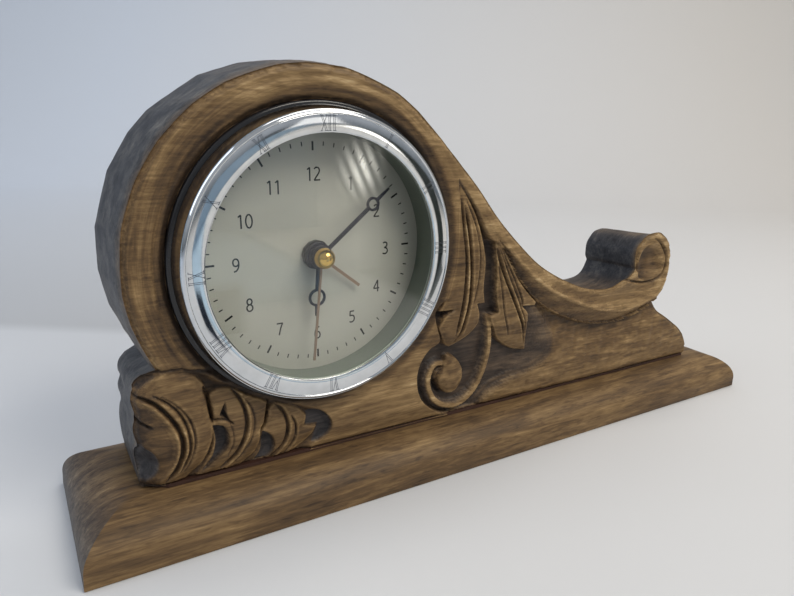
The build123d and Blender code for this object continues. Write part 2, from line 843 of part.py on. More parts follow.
with BuildPart() as hour_hand:
    bar((0, 0), hour_boss_radius, hour_boss_front, hour_boss_back)
    blade_back = hour_boss_back - (boss_thickness - hand_sheet) / 2
    hand_blade(
        hour_angle,
        blade_back - hand_sheet,
        blade_back,
        hour_hand_length,
        hour_bar,
        hour_ring_at,
        hour_ring_radius,
    )
    bar((0, 0), hour_pipe_radius, hour_boss_front - overrun, hour_boss_back + overrun, mode=Mode.SUBTRACT)
hour_hand.part.label = "hour_hand"
export_step(hour_hand.part, "parts/hour_hand.step")

with BuildPart() as minute_hand:
    bar((0, 0), minute_boss_radius, minute_boss_front, minute_boss_back)
    blade_back = minute_boss_back - (boss_thickness - hand_sheet) / 2
    hand_blade(
        minute_angle,
        blade_back - hand_sheet,
        blade_back,
        minute_hand_length,
        minute_bar,
        minute_ring_at,
        minute_ring_radius,
    )
    bar((0, 0), cannon_radius, minute_boss_front - overrun, minute_boss_back + overrun, mode=Mode.SUBTRACT)
minute_hand.part.label = "minute_hand"
export_step(minute_hand.part, "parts/minute_hand.step")

with BuildPart() as second_hand:
    with BuildSketch(facing_hand(second_hand_back, second_angle)):
        Circle(second_disc_radius)
        Polygon(
            (-second_bar, -second_tail),
            (second_bar, -second_tail),
            (second_bar / 2, 0),
            (second_bar / 4, second_hand_length),
            (-second_bar / 4, second_hand_length),
            (-second_bar / 2, 0),
            align=None,
        )
        Circle(second_arbor_radius, mode=Mode.SUBTRACT)
    extrude(amount=hand_sheet)
second_hand.part.label = "second_hand"
export_step(second_hand.part, "parts/second_hand.step")

with BuildPart() as hand_cap:
    flat_radius = sqrt(ball_radius**2 - ball_seat**2)
    with BuildSketch(half_section):
        with BuildLine():
            Line((0, second_hand_front), (flat_radius, second_hand_front))
            ThreePointArc((flat_radius, second_hand_front), (ball_radius, ball_y), (0, ball_y - ball_radius))
            Line((0, ball_y - ball_radius), (0, second_hand_front))
        make_face()
    revolve(axis=hand_axis)
    bar((0, 0), second_arbor_radius, second_arbor_front, second_hand_front + overrun, mode=Mode.SUBTRACT)
hand_cap.part.label = "hand_cap"
export_step(hand_cap.part, "parts/hand_cap.step")


# Movement case: a front and a back half, with a divider above the battery bay
half_width = case_width / 2
case_middle = (case_top + case_bottom) / 2
inner_half = half_width - case_wall
post_places = (
    (-half_width + post_inset, case_top - post_inset),
    (half_width - post_inset, case_top - post_inset),
    (-half_width + low_post_inset, low_post_height),
    (half_width - low_post_inset, low_post_height),
)
front_pivots = (
    (third_place, arbor_radius),
    (motion_place, arbor_radius),
    (intermediate_place, arbor_radius),
    (rotor_place, arbor_radius),
    (time_knob_place, knob_arbor_radius),
    (alarm_knob_place, knob_arbor_radius),
)
back_pivots = (
    (third_place, arbor_radius),
    (motion_place, arbor_radius),
    (intermediate_place, arbor_radius),
    (rotor_place, arbor_radius),
    (hand_place, second_arbor_radius),
)


def case_block(front, back, inset, mode=Mode.ADD):
    """Block of the movement case's outline, drawn in by an inset."""
    with BuildSketch(facing(back)) as section:
        with Locations((0, case_middle)):
            RectangleRounded(case_width - 2 * inset, case_top - case_bottom - 2 * inset, case_corner - inset)
    extrude(section.sketch, amount=back - front, mode=mode)


with BuildPart() as movement_front_case:
    case_block(case_front, case_split, 0)
    case_block(case_inside, case_split + overrun, case_wall, mode=Mode.SUBTRACT)
    block(-inner_half, inner_half, divider_top - case_wall, divider_top, case_inside, case_split)
    for place in post_places:
        bar(place, post_radius, case_inside, case_split)
        bar(place, screw_radius, case_split - screw_length / 2, case_split + overrun, mode=Mode.SUBTRACT)
    bar(hand_place, bush_radius, bush_front, case_front)
    bar(hand_place, bush_bore, bush_front - overrun, case_inside + overrun, mode=Mode.SUBTRACT)
    for place, radius in front_pivots:
        bar(place, radius + running, pivot_front, case_inside + overrun, mode=Mode.SUBTRACT)
    bar((contact_post_x, contact_post_height), contact_post_radius, case_inside, contact_front)
movement_front_case.part.label = "movement_front_case"
export_step(movement_front_case.part, "parts/movement_front_case.step")

# Battery bay, seen from the front
bay_bottom = case_bottom + case_wall
battery_height = bay_bottom + battery_play + battery_radius
battery_y = case_inside + battery_play + battery_radius
door_bottom = bay_bottom + door_lip
door_top = door_bottom + door_height
door_half = inner_half - door_lip
hinge_height = door_bottom + hinge_radius
hinge_y = case_back - hinge_radius
pin_end = door_half + hinge_pin_length

board_left = board_x - board_width / 2
board_posts = (
    (board_left + board_post_inset, board_bottom + board_post_inset),
    (board_left + board_post_inset, board_bottom + board_height - board_post_inset),
)
slot_half = (switch_travel + switch_button_width) / 2 + door_play

with BuildPart() as movement_back_case:
    case_block(case_split, case_back, 0)
    case_block(case_split - overrun, case_back_inside, case_wall, mode=Mode.SUBTRACT)
    block(-inner_half, inner_half, divider_top - case_wall, divider_top, case_split, case_back_inside)
    for place in post_places:
        bar(place, post_radius, case_split, case_back_inside)
        bar(place, screw_radius + running, case_split - overrun, case_back + overrun, mode=Mode.SUBTRACT)
        head_floor = case_back - screw_head
        bar(place, screw_head_radius + running, head_floor, case_back + overrun, mode=Mode.SUBTRACT)
    boss_front = case_back_inside - pivot_boss_height
    for place, radius in back_pivots:
        bar(place, pivot_boss, boss_front, case_back_inside)
        bar(place, radius + running, boss_front - overrun, case_back_inside, mode=Mode.SUBTRACT)
    arbor_hole_radius = knob_arbor_radius + running
    for place in (time_knob_place, alarm_knob_place):
        bar(place, arbor_hole_radius, case_back_inside - overrun, case_back + overrun, mode=Mode.SUBTRACT)
    for place in board_posts:
        bar(place, board_post_radius, board_back, case_back_inside)
    block(
        switch_x - slot_half,
        switch_x + slot_half,
        switch_height - switch_button_height / 2 - door_play,
        switch_height + switch_button_height / 2 + door_play,
        case_back_inside - overrun,
        case_back + overrun,
        mode=Mode.SUBTRACT,
    )
    block(
        -door_half - door_play,
        door_half + door_play,
        door_bottom - door_play,
        door_top + door_play,
        case_back_inside - overrun,
        case_back + overrun,
        mode=Mode.SUBTRACT,
    )
    pin_hole_end = pin_end + running
    pin_hole_radius = hinge_pin_radius + running
    cross_bar(-pin_hole_end, pin_hole_end, hinge_height, hinge_y, pin_hole_radius, mode=Mode.SUBTRACT)
movement_back_case.part.label = "movement_back_case"
export_step(movement_back_case.part, "parts/movement_back_case.step")

with BuildPart() as movement_screws:
    for place in post_places:
        bar(place, screw_radius, case_back - screw_length, case_back - screw_head)
        bar(place, screw_head_radius, case_back - screw_head, case_back)
movement_screws.part.label = "movement_screws"
export_step(movement_screws.part, "parts/movement_screws.step")


# Going train, from the rotor to the wheel under the minute hand
arbor_front = pivot_front + running
arbor_back = case_back_inside - running
second_to_middle = 90

with BuildPart() as rotor:
    bar(rotor_place, arbor_radius, arbor_front, arbor_back)
    bar(rotor_place, magnet_radius, magnet_front, magnet_front + magnet_thickness)
    gear(
        rotor_place,
        rotor_pinion_teeth,
        rotor_pinion_radius,
        -second_to_middle,
        intermediate_wheel_front - pinion_overhang,
        intermediate_wheel_front + wheel_sheet + pinion_overhang,
    )
rotor.part.label = "rotor"
export_step(rotor.part, "parts/rotor.step")

with BuildPart() as intermediate_wheel:
    bar(intermediate_place, arbor_radius, arbor_front, arbor_back)
    gear(
        intermediate_place,
        intermediate_wheel_teeth,
        intermediate_wheel_radius,
        meshed_turn(-second_to_middle, rotor_pinion_teeth, -second_to_middle, intermediate_wheel_teeth),
        intermediate_wheel_front,
        intermediate_wheel_front + wheel_sheet,
    )
    gear(
        intermediate_place,
        intermediate_pinion_teeth,
        intermediate_pinion_radius,
        -second_to_middle,
        second_wheel_front - pinion_overhang,
        second_wheel_front + wheel_sheet + pinion_overhang,
    )
intermediate_wheel.part.label = "intermediate_wheel"
export_step(intermediate_wheel.part, "parts/intermediate_wheel.step")

with BuildPart() as second_wheel:
    bar(hand_place, second_arbor_radius, second_arbor_front, arbor_back)
    gear(
        hand_place,
        second_wheel_teeth,
        second_wheel_radius,
        meshed_turn(-second_to_middle, intermediate_pinion_teeth, -second_to_middle, second_wheel_teeth),
        second_wheel_front,
        second_wheel_front + wheel_sheet,
    )
    gear(
        hand_place,
        second_pinion_teeth,
        second_pinion_radius,
        third_angle,
        third_wheel_front - pinion_overhang,
        third_wheel_front + wheel_sheet + pinion_overhang,
    )
second_wheel.part.label = "second_wheel"
export_step(second_wheel.part, "parts/second_wheel.step")

with BuildPart() as third_wheel:
    bar(third_place, arbor_radius, arbor_front, arbor_back)
    gear(
        third_place,
        third_wheel_teeth,
        third_wheel_radius,
        meshed_turn(third_angle, second_pinion_teeth, third_angle, third_wheel_teeth),
        third_wheel_front,
        third_wheel_front + wheel_sheet,
    )
    gear(
        third_place,
        third_pinion_teeth,
        third_pinion_radius,
        meshed_turn(third_angle, centre_wheel_teeth, third_angle, third_pinion_teeth),
        centre_wheel_front - pinion_overhang,
        centre_wheel_front + wheel_sheet + pinion_overhang,
    )
third_wheel.part.label = "third_wheel"
export_step(third_wheel.part, "parts/third_wheel.step")

with BuildPart() as centre_wheel:
    gear(
        hand_place,
        centre_wheel_teeth,
        centre_wheel_radius,
        third_angle,
        centre_wheel_front,
        centre_wheel_front + wheel_sheet,
    )
    bar(hand_place, cannon_radius, centre_wheel_front, cannon_neck_back)
    bar(
        hand_place, cannon_neck_radius + running, centre_wheel_front - overrun, cannon_neck_back + overrun,
        mode=Mode.SUBTRACT,
    )
centre_wheel.part.label = "centre_wheel"
export_step(centre_wheel.part, "parts/centre_wheel.step")

# Motion work, from the minute hand to the hour hand
with BuildPart() as cannon_pinion:
    bar(hand_place, cannon_radius, minute_boss_front, motion_wheel_front)
    gear(
        hand_place,
        cannon_pinion_teeth,
        cannon_pinion_radius,
        motion_angle,
        motion_wheel_front,
        cannon_pinion_back,
    )
    bar(hand_place, cannon_neck_radius, cannon_pinion_back, cannon_neck_back)
    bar(hand_place, cannon_bore, minute_boss_front - overrun, cannon_neck_back + overrun, mode=Mode.SUBTRACT)
cannon_pinion.part.label = "cannon_pinion"
export_step(cannon_pinion.part, "parts/cannon_pinion.step")

motion_turn = meshed_turn(motion_angle, cannon_pinion_teeth, motion_angle, motion_wheel_teeth)
with BuildPart() as motion_wheel:
    bar(motion_place, arbor_radius, arbor_front, arbor_back)
    gear(
        motion_place,
        motion_wheel_teeth,
        motion_wheel_radius,
        motion_turn,
        motion_wheel_front,
        motion_wheel_front + wheel_sheet,
    )
    gear(
        motion_place,
        motion_pinion_teeth,
        motion_pinion_radius,
        motion_angle + 180,
        hour_wheel_front - contact_sheet,
        motion_wheel_front,
    )
motion_wheel.part.label = "motion_wheel"
export_step(motion_wheel.part, "parts/motion_wheel.step")

with BuildPart() as hour_wheel:
    gear(
        hand_place,
        hour_wheel_teeth,
        hour_wheel_radius,
        meshed_turn(motion_angle + 180, motion_pinion_teeth, motion_angle + 180, hour_wheel_teeth),
        hour_wheel_front,
        hour_wheel_front + wheel_sheet,
    )
    bar(hand_place, hour_pipe_radius, hour_boss_front, hour_wheel_front)
    bar(
        hand_place, hour_pipe_bore, hour_boss_front - overrun, hour_wheel_front + wheel_sheet + overrun,
        mode=Mode.SUBTRACT,
    )
hour_wheel.part.label = "hour_wheel"
export_step(hour_wheel.part, "parts/hour_wheel.step")

with BuildPart() as alarm_wheel:
    gear(
        hand_place,
        alarm_wheel_teeth,
        alarm_wheel_radius,
        alarm_knob_angle,
        alarm_wheel_front,
        alarm_wheel_front + wheel_sheet,
    )
    bar(hand_place, alarm_pipe_radius, alarm_hand_front, alarm_wheel_front)
    bar(
        hand_place, alarm_pipe_bore, alarm_hand_front - overrun, alarm_wheel_front + wheel_sheet + overrun,
        mode=Mode.SUBTRACT,
    )
alarm_wheel.part.label = "alarm_wheel"
export_step(alarm_wheel.part, "parts/alarm_wheel.step")


# Knobs at the back, each on an arbor with a pinion
def knob(place, teeth, pitch_radius, turn, front, back):
    """Fluted knob with its arbor, and a pinion between two depths."""
    knob_front = case_back + knob_gap
    knob_back = knob_front + knob_thickness
    bar(place, knob_arbor_radius, arbor_front, knob_front)
    bar(place, knob_radius, knob_front, knob_back)
    for flute in range(knob_flutes):
        rim = around(knob_radius, 360 * flute / knob_flutes, place)
        bar(rim, knob_flute_radius, knob_front + wheel_sheet, knob_back + overrun, mode=Mode.SUBTRACT)
    gear(place, teeth, pitch_radius, turn, front, back)


with BuildPart() as time_set_knob:
    knob(
        time_knob_place,
        time_pinion_teeth,
        time_pinion_radius,
        meshed_turn(motion_turn, motion_wheel_teeth, time_knob_angle, time_pinion_teeth),
        motion_wheel_front - contact_sheet,
        motion_wheel_front + wheel_sheet + contact_sheet,
    )
time_set_knob.part.label = "time_set_knob"
export_step(time_set_knob.part, "parts/time_set_knob.step")

with BuildPart() as alarm_set_knob:
    knob(
        alarm_knob_place,
        alarm_pinion_teeth,
        alarm_pinion_radius,
        meshed_turn(alarm_knob_angle, alarm_wheel_teeth, alarm_knob_angle, alarm_pinion_teeth),
        alarm_wheel_front - contact_sheet,
        alarm_wheel_front + wheel_sheet + contact_sheet,
    )
alarm_set_knob.part.label = "alarm_set_knob"
export_step(alarm_set_knob.part, "parts/alarm_set_knob.step")

with BuildPart() as alarm_switch:
    rest_x = switch_x - switch_travel / 2
    plate_back = case_back_inside - switch_gap
    plate_half_width = switch_button_width / 2 + switch_plate_margin
    plate_half_height = switch_button_height / 2 + switch_plate_margin
    block(
        rest_x - plate_half_width,
        rest_x + plate_half_width,
        switch_height - plate_half_height,
        switch_height + plate_half_height,
        plate_back - switch_plate_sheet,
        plate_back,
    )
    block(
        rest_x - switch_button_width / 2,
        rest_x + switch_button_width / 2,
        switch_height - switch_button_height / 2,
        switch_height + switch_button_height / 2,
        plate_back,
        case_back + switch_button_depth,
    )
alarm_switch.part.label = "alarm_switch"
export_step(alarm_switch.part, "parts/alarm_switch.step")

with BuildPart() as battery_door:
    block(-door_half, door_half, hinge_height, door_top, case_back - door_sheet, case_back)
    cross_bar(-door_half, door_half, hinge_height, hinge_y, hinge_radius)
    cross_bar(-pin_end, pin_end, hinge_height, hinge_y, hinge_pin_radius)
    block(
        -door_grip_width / 2,
        door_grip_width / 2,
        door_top - 2 * door_grip_height,
        door_top - door_grip_height,
        case_back,
        case_back + door_grip_depth,
    )
battery_door.part.label = "battery_door"
export_step(battery_door.part, "parts/battery_door.step")


# Motor: stator, core, bobbin and winding
stator_back = stator_front + stator_sheet
core_y = stator_back + core_thickness / 2
window_bottom = rotor_place[1] + stator_hole + stator_neck

with BuildPart() as stator:
    half_stator = stator_width / 2
    block(-half_stator, half_stator, stator_bottom, stator_top, stator_front, stator_back)
    block(
        -half_stator + stator_leg,
        half_stator - stator_leg,
        window_bottom,
        stator_top + overrun,
        stator_front - overrun,
        stator_back + overrun,
        mode=Mode.SUBTRACT,
    )
    bar(rotor_place, stator_hole, stator_front - overrun, stator_back + overrun, mode=Mode.SUBTRACT)
stator.part.label = "stator"
export_step(stator.part, "parts/stator.step")

with BuildPart() as coil_core:
    block(
        -half_stator,
        half_stator,
        coil_height - core_height / 2,
        coil_height + core_height / 2,
        stator_back,
        stator_back + core_thickness,
    )
coil_core.part.label = "coil_core"
export_step(coil_core.part, "parts/coil_core.step")

with BuildPart() as coil_bobbin:
    half_coil = coil_length / 2
    cross_bar(-half_coil, half_coil, coil_height, core_y, bobbin_core)
    cross_bar(-half_coil, -half_coil + bobbin_flange, coil_height, core_y, bobbin_radius)
    cross_bar(half_coil - bobbin_flange, half_coil, coil_height, core_y, bobbin_radius)
    block(
        -half_coil - overrun,
        half_coil + overrun,
        coil_height - core_height / 2 - running,
        coil_height + core_height / 2 + running,
        stator_back - running,
        stator_back + core_thickness + running,
        mode=Mode.SUBTRACT,
    )
coil_bobbin.part.label = "coil_bobbin"
export_step(coil_bobbin.part, "parts/coil_bobbin.step")

with BuildPart() as coil_winding:
    winding_half = half_coil - bobbin_flange
    cross_bar(-winding_half, winding_half, coil_height, core_y, coil_radius)
    cross_bar(
        -winding_half - overrun, winding_half + overrun, coil_height, core_y, bobbin_core, mode=Mode.SUBTRACT
    )
coil_winding.part.label = "coil_winding"
export_step(coil_winding.part, "parts/coil_winding.step")


# Circuit board with its chip and quartz crystal
board_front = board_back - board_sheet

with BuildPart() as circuit_board:
    board_top = board_bottom + board_height
    block(board_left, board_left + board_width, board_bottom, board_top, board_front, board_back)
circuit_board.part.label = "circuit_board"
export_step(circuit_board.part, "parts/circuit_board.step")

with BuildPart() as timing_chip:
    block(
        board_x - chip_size / 2,
        board_x + chip_size / 2,
        chip_height - chip_size / 2,
        chip_height + chip_size / 2,
        board_front - chip_thickness,
        board_front,
    )
timing_chip.part.label = "timing_chip"
export_step(timing_chip.part, "parts/timing_chip.step")

with BuildPart() as quartz_crystal:
    crystal_bottom = axis_height + crystal_height - crystal_length / 2
    crystal_foot = (axis_x + board_x, board_front - crystal_radius, crystal_bottom)
    with BuildSketch(Plane(crystal_foot)):
        Circle(crystal_radius)
    extrude(amount=crystal_length)
quartz_crystal.part.label = "quartz_crystal"
export_step(quartz_crystal.part, "parts/quartz_crystal.step")


# Alarm: buzzer and contact spring
with BuildPart() as buzzer:
    bar((buzzer_x, buzzer_height), buzzer_radius, case_inside, case_inside + buzzer_thickness)
    bar(
        (buzzer_x, buzzer_height),
        buzzer_radius / 4,
        case_inside + buzzer_thickness / 2,
        case_inside + buzzer_thickness + overrun,
        mode=Mode.SUBTRACT,
    )
buzzer.part.label = "buzzer"
export_step(buzzer.part, "parts/buzzer.step")

with BuildPart() as alarm_contact_spring:
    with BuildSketch(facing(contact_front + contact_sheet)):
        with BuildLine() as spring_path:
            Line((contact_post_x, contact_post_height), (contact_tip_x, contact_tip_height))
        trace(line_width=contact_width)
        with Locations((contact_post_x, contact_post_height)):
            Circle(contact_post_radius)
    extrude(amount=contact_sheet)
alarm_contact_spring.part.label = "alarm_contact_spring"
export_step(alarm_contact_spring.part, "parts/alarm_contact_spring.step")


# Battery with its two contacts
battery_left = -battery_length / 2
battery_right = battery_length / 2
contact_half = battery_contact_width / 2

with BuildPart() as battery:
    cross_bar(battery_left, battery_right, battery_height, battery_y, battery_radius)
    cross_bar(battery_right, battery_right + battery_nub, battery_height, battery_y, battery_nub_radius)
battery.part.label = "battery"
export_step(battery.part, "parts/battery.step")

with BuildPart() as battery_plus_contact:
    block(
        inner_half - battery_contact_sheet,
        inner_half,
        battery_height - contact_half,
        battery_height + contact_half,
        battery_y - contact_half,
        battery_y + contact_half,
    )
    dimple_radius = battery_nub_radius - battery_contact_sheet
    cross_bar(battery_right + battery_nub, inner_half, battery_height, battery_y, dimple_radius)
battery_plus_contact.part.label = "battery_plus_contact"
export_step(battery_plus_contact.part, "parts/battery_plus_contact.step")

with BuildPart() as battery_minus_contact:
    block(
        -inner_half,
        -inner_half + battery_contact_sheet,
        battery_height - contact_half,
        battery_height + contact_half,
        battery_y - contact_half,
        battery_y + contact_half,
    )
    cross_bar(-inner_half, battery_left, battery_height, battery_y, battery_spring_radius)
    cross_bar(
        -inner_half - overrun,
        battery_left + overrun,
        battery_height,
        battery_y,
        battery_spring_radius - battery_contact_sheet,
        mode=Mode.SUBTRACT,
    )
battery_minus_contact.part.label = "battery_minus_contact"
export_step(battery_minus_contact.part, "parts/battery_minus_contact.step")
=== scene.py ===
import math

import bpy
import numpy as np
from mathutils import Matrix, Vector
from mathutils.geometry import delaunay_2d_cdt


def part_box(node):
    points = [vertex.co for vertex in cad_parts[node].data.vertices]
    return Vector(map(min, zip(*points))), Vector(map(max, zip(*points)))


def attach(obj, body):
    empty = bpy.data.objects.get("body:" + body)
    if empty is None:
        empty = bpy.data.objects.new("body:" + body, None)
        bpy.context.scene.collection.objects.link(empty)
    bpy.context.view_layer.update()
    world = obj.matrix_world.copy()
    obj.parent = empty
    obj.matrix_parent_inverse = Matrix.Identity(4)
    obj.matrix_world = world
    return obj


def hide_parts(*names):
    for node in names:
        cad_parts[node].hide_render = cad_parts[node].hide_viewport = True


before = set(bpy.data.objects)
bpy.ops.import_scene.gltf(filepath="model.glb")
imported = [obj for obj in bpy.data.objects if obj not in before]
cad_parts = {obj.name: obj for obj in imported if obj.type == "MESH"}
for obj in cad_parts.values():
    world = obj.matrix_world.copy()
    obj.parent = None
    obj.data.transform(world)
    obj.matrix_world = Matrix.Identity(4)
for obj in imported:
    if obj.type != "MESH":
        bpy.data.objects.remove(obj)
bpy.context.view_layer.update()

# All sizes are in millimetres until a mesh is made, and X, Y and Z are the frame's own.
# Outlines of the carving are (x, z) points seen from the front.
MM = 0.001


def node_box(node):
    """Lowest and highest corner of a CAD node, in millimetres."""
    low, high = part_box(node)
    return np.array(low) / MM, np.array(high) / MM


# Places taken from the frame
bezel_low, bezel_high = node_box("bezel")
dial_low, dial_high = node_box("dial")
plinth_half_x, plinth_half_y, plinth_top = node_box("plinth")[1]
axis_x = (dial_low[0] + dial_high[0]) / 2
axis_z = (dial_low[2] + dial_high[2]) / 2
bezel_front = bezel_low[1]
bezel_radius = (bezel_high[0] - bezel_low[0]) / 2
dial_face = dial_low[1]
lip_y = node_box("reflector_ring")[0][1]
body_front = -18.0
body_back = 17.0
body_foot = plinth_top + 0.7
bore_radius = 41.7
seat_radius = 46.8
seat_floor = 2.5
edge_radius = 1.3

# Drum: x, z and radius at the front and at the back of its side
drum_front = (axis_x - 1.2, axis_z - 0.4, 57.0)
drum_back = (axis_x - 1.0, axis_z - 0.3, 59.2)


# Curves, distances and masks for the carving
def smooth_step(low, high, value):
    share = np.clip((value - low) / (high - low), 0.0, 1.0)
    return share * share * (3.0 - 2.0 * share)


def mix(a, b, share):
    return a * (1.0 - share) + b * share


def curve(points, step=0.6, closed=False, sharp=()):
    """Points of a smooth curve through given points. It keeps a corner at each index in sharp."""
    points = [np.array(p, float) for p in points]
    count = len(points)
    out = []
    spans = count if closed else count - 1
    for i in range(spans):
        p1, p2 = points[i], points[(i + 1) % count]
        before = points[(i - 1) % count] if closed or i > 0 else p1
        after = points[(i + 2) % count] if closed or i < count - 2 else p2
        if i in sharp:
            before = p1
        if (i + 1) % count in sharp:
            after = p2
        pieces = max(1, int(np.linalg.norm(p2 - p1) / step))
        for k in range(pieces):
            t = k / pieces
            start_pull = (p2 - before) * 0.5
            end_pull = (after - p1) * 0.5
            out.append(
                (2 * t**3 - 3 * t**2 + 1) * p1
                + (t**3 - 2 * t**2 + t) * start_pull
                + (3 * t**2 - 2 * t**3) * p2
                + (t**3 - t**2) * end_pull
            )
    if not closed:
        out.append(points[-1])
    return np.array(out)


def nearest(points, line, closed=False, reach=40.0):
    """Distance of each point to a line, share of its length there, and side: 1 is left of its run."""
    result = np.full(len(points), reach)
    along = np.zeros(len(points))
    side = np.zeros(len(points))
    low = line.min(0) - reach
    high = line.max(0) + reach
    near = np.all((points > low) & (points < high), axis=1)
    where = np.nonzero(near)[0]
    if len(where) == 0:
        return result, along, side
    sub = points[where]
    best = np.full(len(sub), reach)
    best_along = np.zeros(len(sub))
    best_side = np.zeros(len(sub))
    ends = np.roll(line, -1, axis=0) if closed else line[1:]
    starts = line if closed else line[:-1]
    total = len(starts)
    for i, (a, b) in enumerate(zip(starts, ends)):
        d = b - a
        length = d @ d
        if length == 0:
            continue
        off = sub - a
        t = np.clip((off @ d) / length, 0.0, 1.0)
        gap = np.hypot(*(off - t[:, None] * d).T)
        closer = gap < best
        best[closer] = gap[closer]
        best_along[closer] = (i + t[closer]) / total
        best_side[closer] = np.sign(d[0] * off[closer, 1] - d[1] * off[closer, 0])
    result[where] = best
    along[where] = best_along
    side[where] = best_side
    return result, along, side


def distance(points, line, closed=False, reach=40.0):
    """Distance of each point to a line of points, and the share of the line's length at the nearest place."""
    return nearest(points, line, closed, reach)[:2]


def inside(points, outline):
    """True for each point inside a closed outline."""
    x, z = points[:, 0], points[:, 1]
    found = np.zeros(len(points), bool)
    ends = np.roll(outline, -1, axis=0)
    for (x1, z1), (x2, z2) in zip(outline, ends):
        if z1 == z2:
            continue
        crosses = (z1 > z) != (z2 > z)
        found ^= crosses & (x < (x2 - x1) * (z - z1) / (z2 - z1) + x1)
    return found


def signed(points, outline, reach=12.0):
    """Distance to a closed outline, positive inside."""
    gap, _ = distance(points, outline, closed=True, reach=reach)
    return np.where(inside(points, outline), gap, -gap)


def wobble(points, size, seed):
    """Soft unevenness between -1 and 1, with features about size wide."""
    rng = np.random.default_rng(seed)
    value = np.zeros(len(points))
    for _ in range(7):
        angle = rng.uniform(0, 2 * math.pi)
        scale = rng.uniform(0.7, 1.5) * 2 * math.pi / size
        phase = rng.uniform(0, 2 * math.pi)
        value += np.sin(scale * (points[:, 0] * math.cos(angle) + points[:, 1] * math.sin(angle)) + phase)
    return value / 4.0


def from_axis(points):
    """Distance of each point from the hands' axis."""
    return np.hypot(points[:, 0] - axis_x, points[:, 1] - axis_z)


def circle(radius, count):
    """Points of a circle about the hands' axis."""
    angles = np.linspace(0, 2 * math.pi, count, endpoint=False)
    return np.column_stack((axis_x + radius * np.cos(angles), axis_z + radius * np.sin(angles)))


def normals(line, closed=False):
    """Unit normals on the right of a line's run."""
    tangent = np.roll(line, -1, 0) - np.roll(line, 1, 0) if closed else np.gradient(line, axis=0)
    normal = np.column_stack((tangent[:, 1], -tangent[:, 0]))
    return normal / (np.linalg.norm(normal, axis=1)[:, None] + 1e-9)


# Carved lines, listed
sweep_top = curve(
    [(-40, 127), (-31.5, 119.5), (-23.5, 112), (-14, 103), (-3.5, 91.5), (8, 81), (19.5, 72), (31.5, 65.5),
     (42.5, 61), (49, 59), (55, 58), (61, 57.6), (66, 58.4), (70.5, 60.2), (74.5, 61), (78, 63.5)]
)
sweep_ridge = curve([(-14, 96.5), (-6, 87.5), (1.5, 80.5), (8.5, 74), (16.5, 67.5), (25, 62), (34, 57.5),
    (44, 53.5), (53, 50.5), (62, 48.3), (71, 47.2), (80, 47.6), (88, 49.2), (95.5, 52.5), (99.5, 59),
    (100, 66), (97, 73), (91, 78)])
sweep_low = curve(
    [(-6, 87), (-3, 83), (0.5, 79.5), (5, 73), (8.5, 68.5), (12, 64.8), (18, 59.5), (25.5, 54), (35.5, 49),
     (45.5, 45.2), (55.5, 42.8), (66, 42), (74.5, 42.6), (82, 44), (89, 46.5), (95.5, 50.2)]
)
roll_centre = (89.5, 69.5)
roll_radius = 11.0
roll_back_centre = (92.0, 67.4)
roll_back_radius = 9.6
face_outline = curve([(81.5, 72.5), (86, 76), (91, 75.5), (95, 71.8), (96.6, 67), (95.6, 62.5), (91.5, 60),
    (86, 59.4), (81, 60.6), (79.5, 66)], closed=True)
rim_line = curve([(88, 78), (92.5, 75.2), (96.2, 71), (97.6, 66.5), (96.4, 61.5), (92, 58.6), (85, 58),
    (78, 59.2), (73, 60.4)])

long_leaf = curve([(-22.5, 104), (-18.5, 99), (-14, 92), (-10.5, 83.5), (-8.5, 75.5), (-8.5, 66),
    (-7.5, 60), (-11, 60), (-9.5, 55), (-11, 51), (-16, 47.3), (-22.5, 44.8), (-25, 46.5), (-28.3, 53),
    (-25, 57), (-21, 59), (-28.5, 59.3), (-26, 63), (-24, 69.5), (-22.5, 77.5), (-22.5, 87), (-23, 96)],
    closed=True, sharp=(0, 6, 7, 11, 13, 15, 16))
short_leaf = curve([(-5.7, 86), (-2.5, 83), (2, 76.5), (8, 68), (13, 62.5), (19, 57), (18.5, 55.8),
    (11.5, 56.3), (15, 53), (15.5, 48), (16, 42), (16.3, 37.3), (10, 38.5), (5, 41), (0.5, 44.5), (-2, 49),
    (-4.5, 54), (0, 55), (-2, 63), (-2.6, 71), (-3.8, 79)], closed=True, sharp=(0, 5, 6, 7, 11, 16, 17))
# Each vein: line, width, cut, light edge on its left, light edge on its right
leaf_veins = [
    (curve([(-21.8, 99), (-19.8, 88), (-18, 78), (-17.6, 68.5), (-18.3, 59),
        (-20.5, 49)]), 0.75, 1.5, 0.3, 0.0),
    (curve([(-20.4, 97), (-17.6, 86.5), (-15.9, 77), (-15.2, 68), (-15.6, 59.5), (-18.2, 50.5),
        (-21.3, 46.2)]), 0.85, 1.8, 0.3, 0.35),
    (curve([(-19.3, 98.3), (-14.5, 89), (-11.9, 79.5), (-11.7, 70), (-13.1, 61)]), 0.5, 0.7, 0.0, 0.2),
    (curve([(-3.6, 80.5), (0.3, 70.7), (5, 62.2), (10, 53.3), (13.3, 46.4),
        (15.4, 40)]), 0.8, 1.6, 0.35, 0.25),
    (curve([(-2.4, 80), (2.4, 71), (7.2, 62.5), (11.6, 54.5), (14.4, 47), (15.9, 41)]), 0.5, 0.9, 0.0, 0.0),
    (curve([(-0.3, 78.6), (5.9, 68.2), (10.4, 60), (11.8, 56.2)]), 0.55, 0.9, 0.15, 0.0),
    (curve([(-2.2, 74), (0.5, 63), (2.6, 54), (5.5, 45.5)]), 0.5, 0.6, 0.1, 0.1),
]
scoop_edge = curve([(12, 62.8), (16.5, 58), (22.5, 51.5), (28.5, 44), (30.8, 37), (27.8, 32.8), (18.5, 29),
    (9, 27.5), (-2, 24), (-9, 17)])
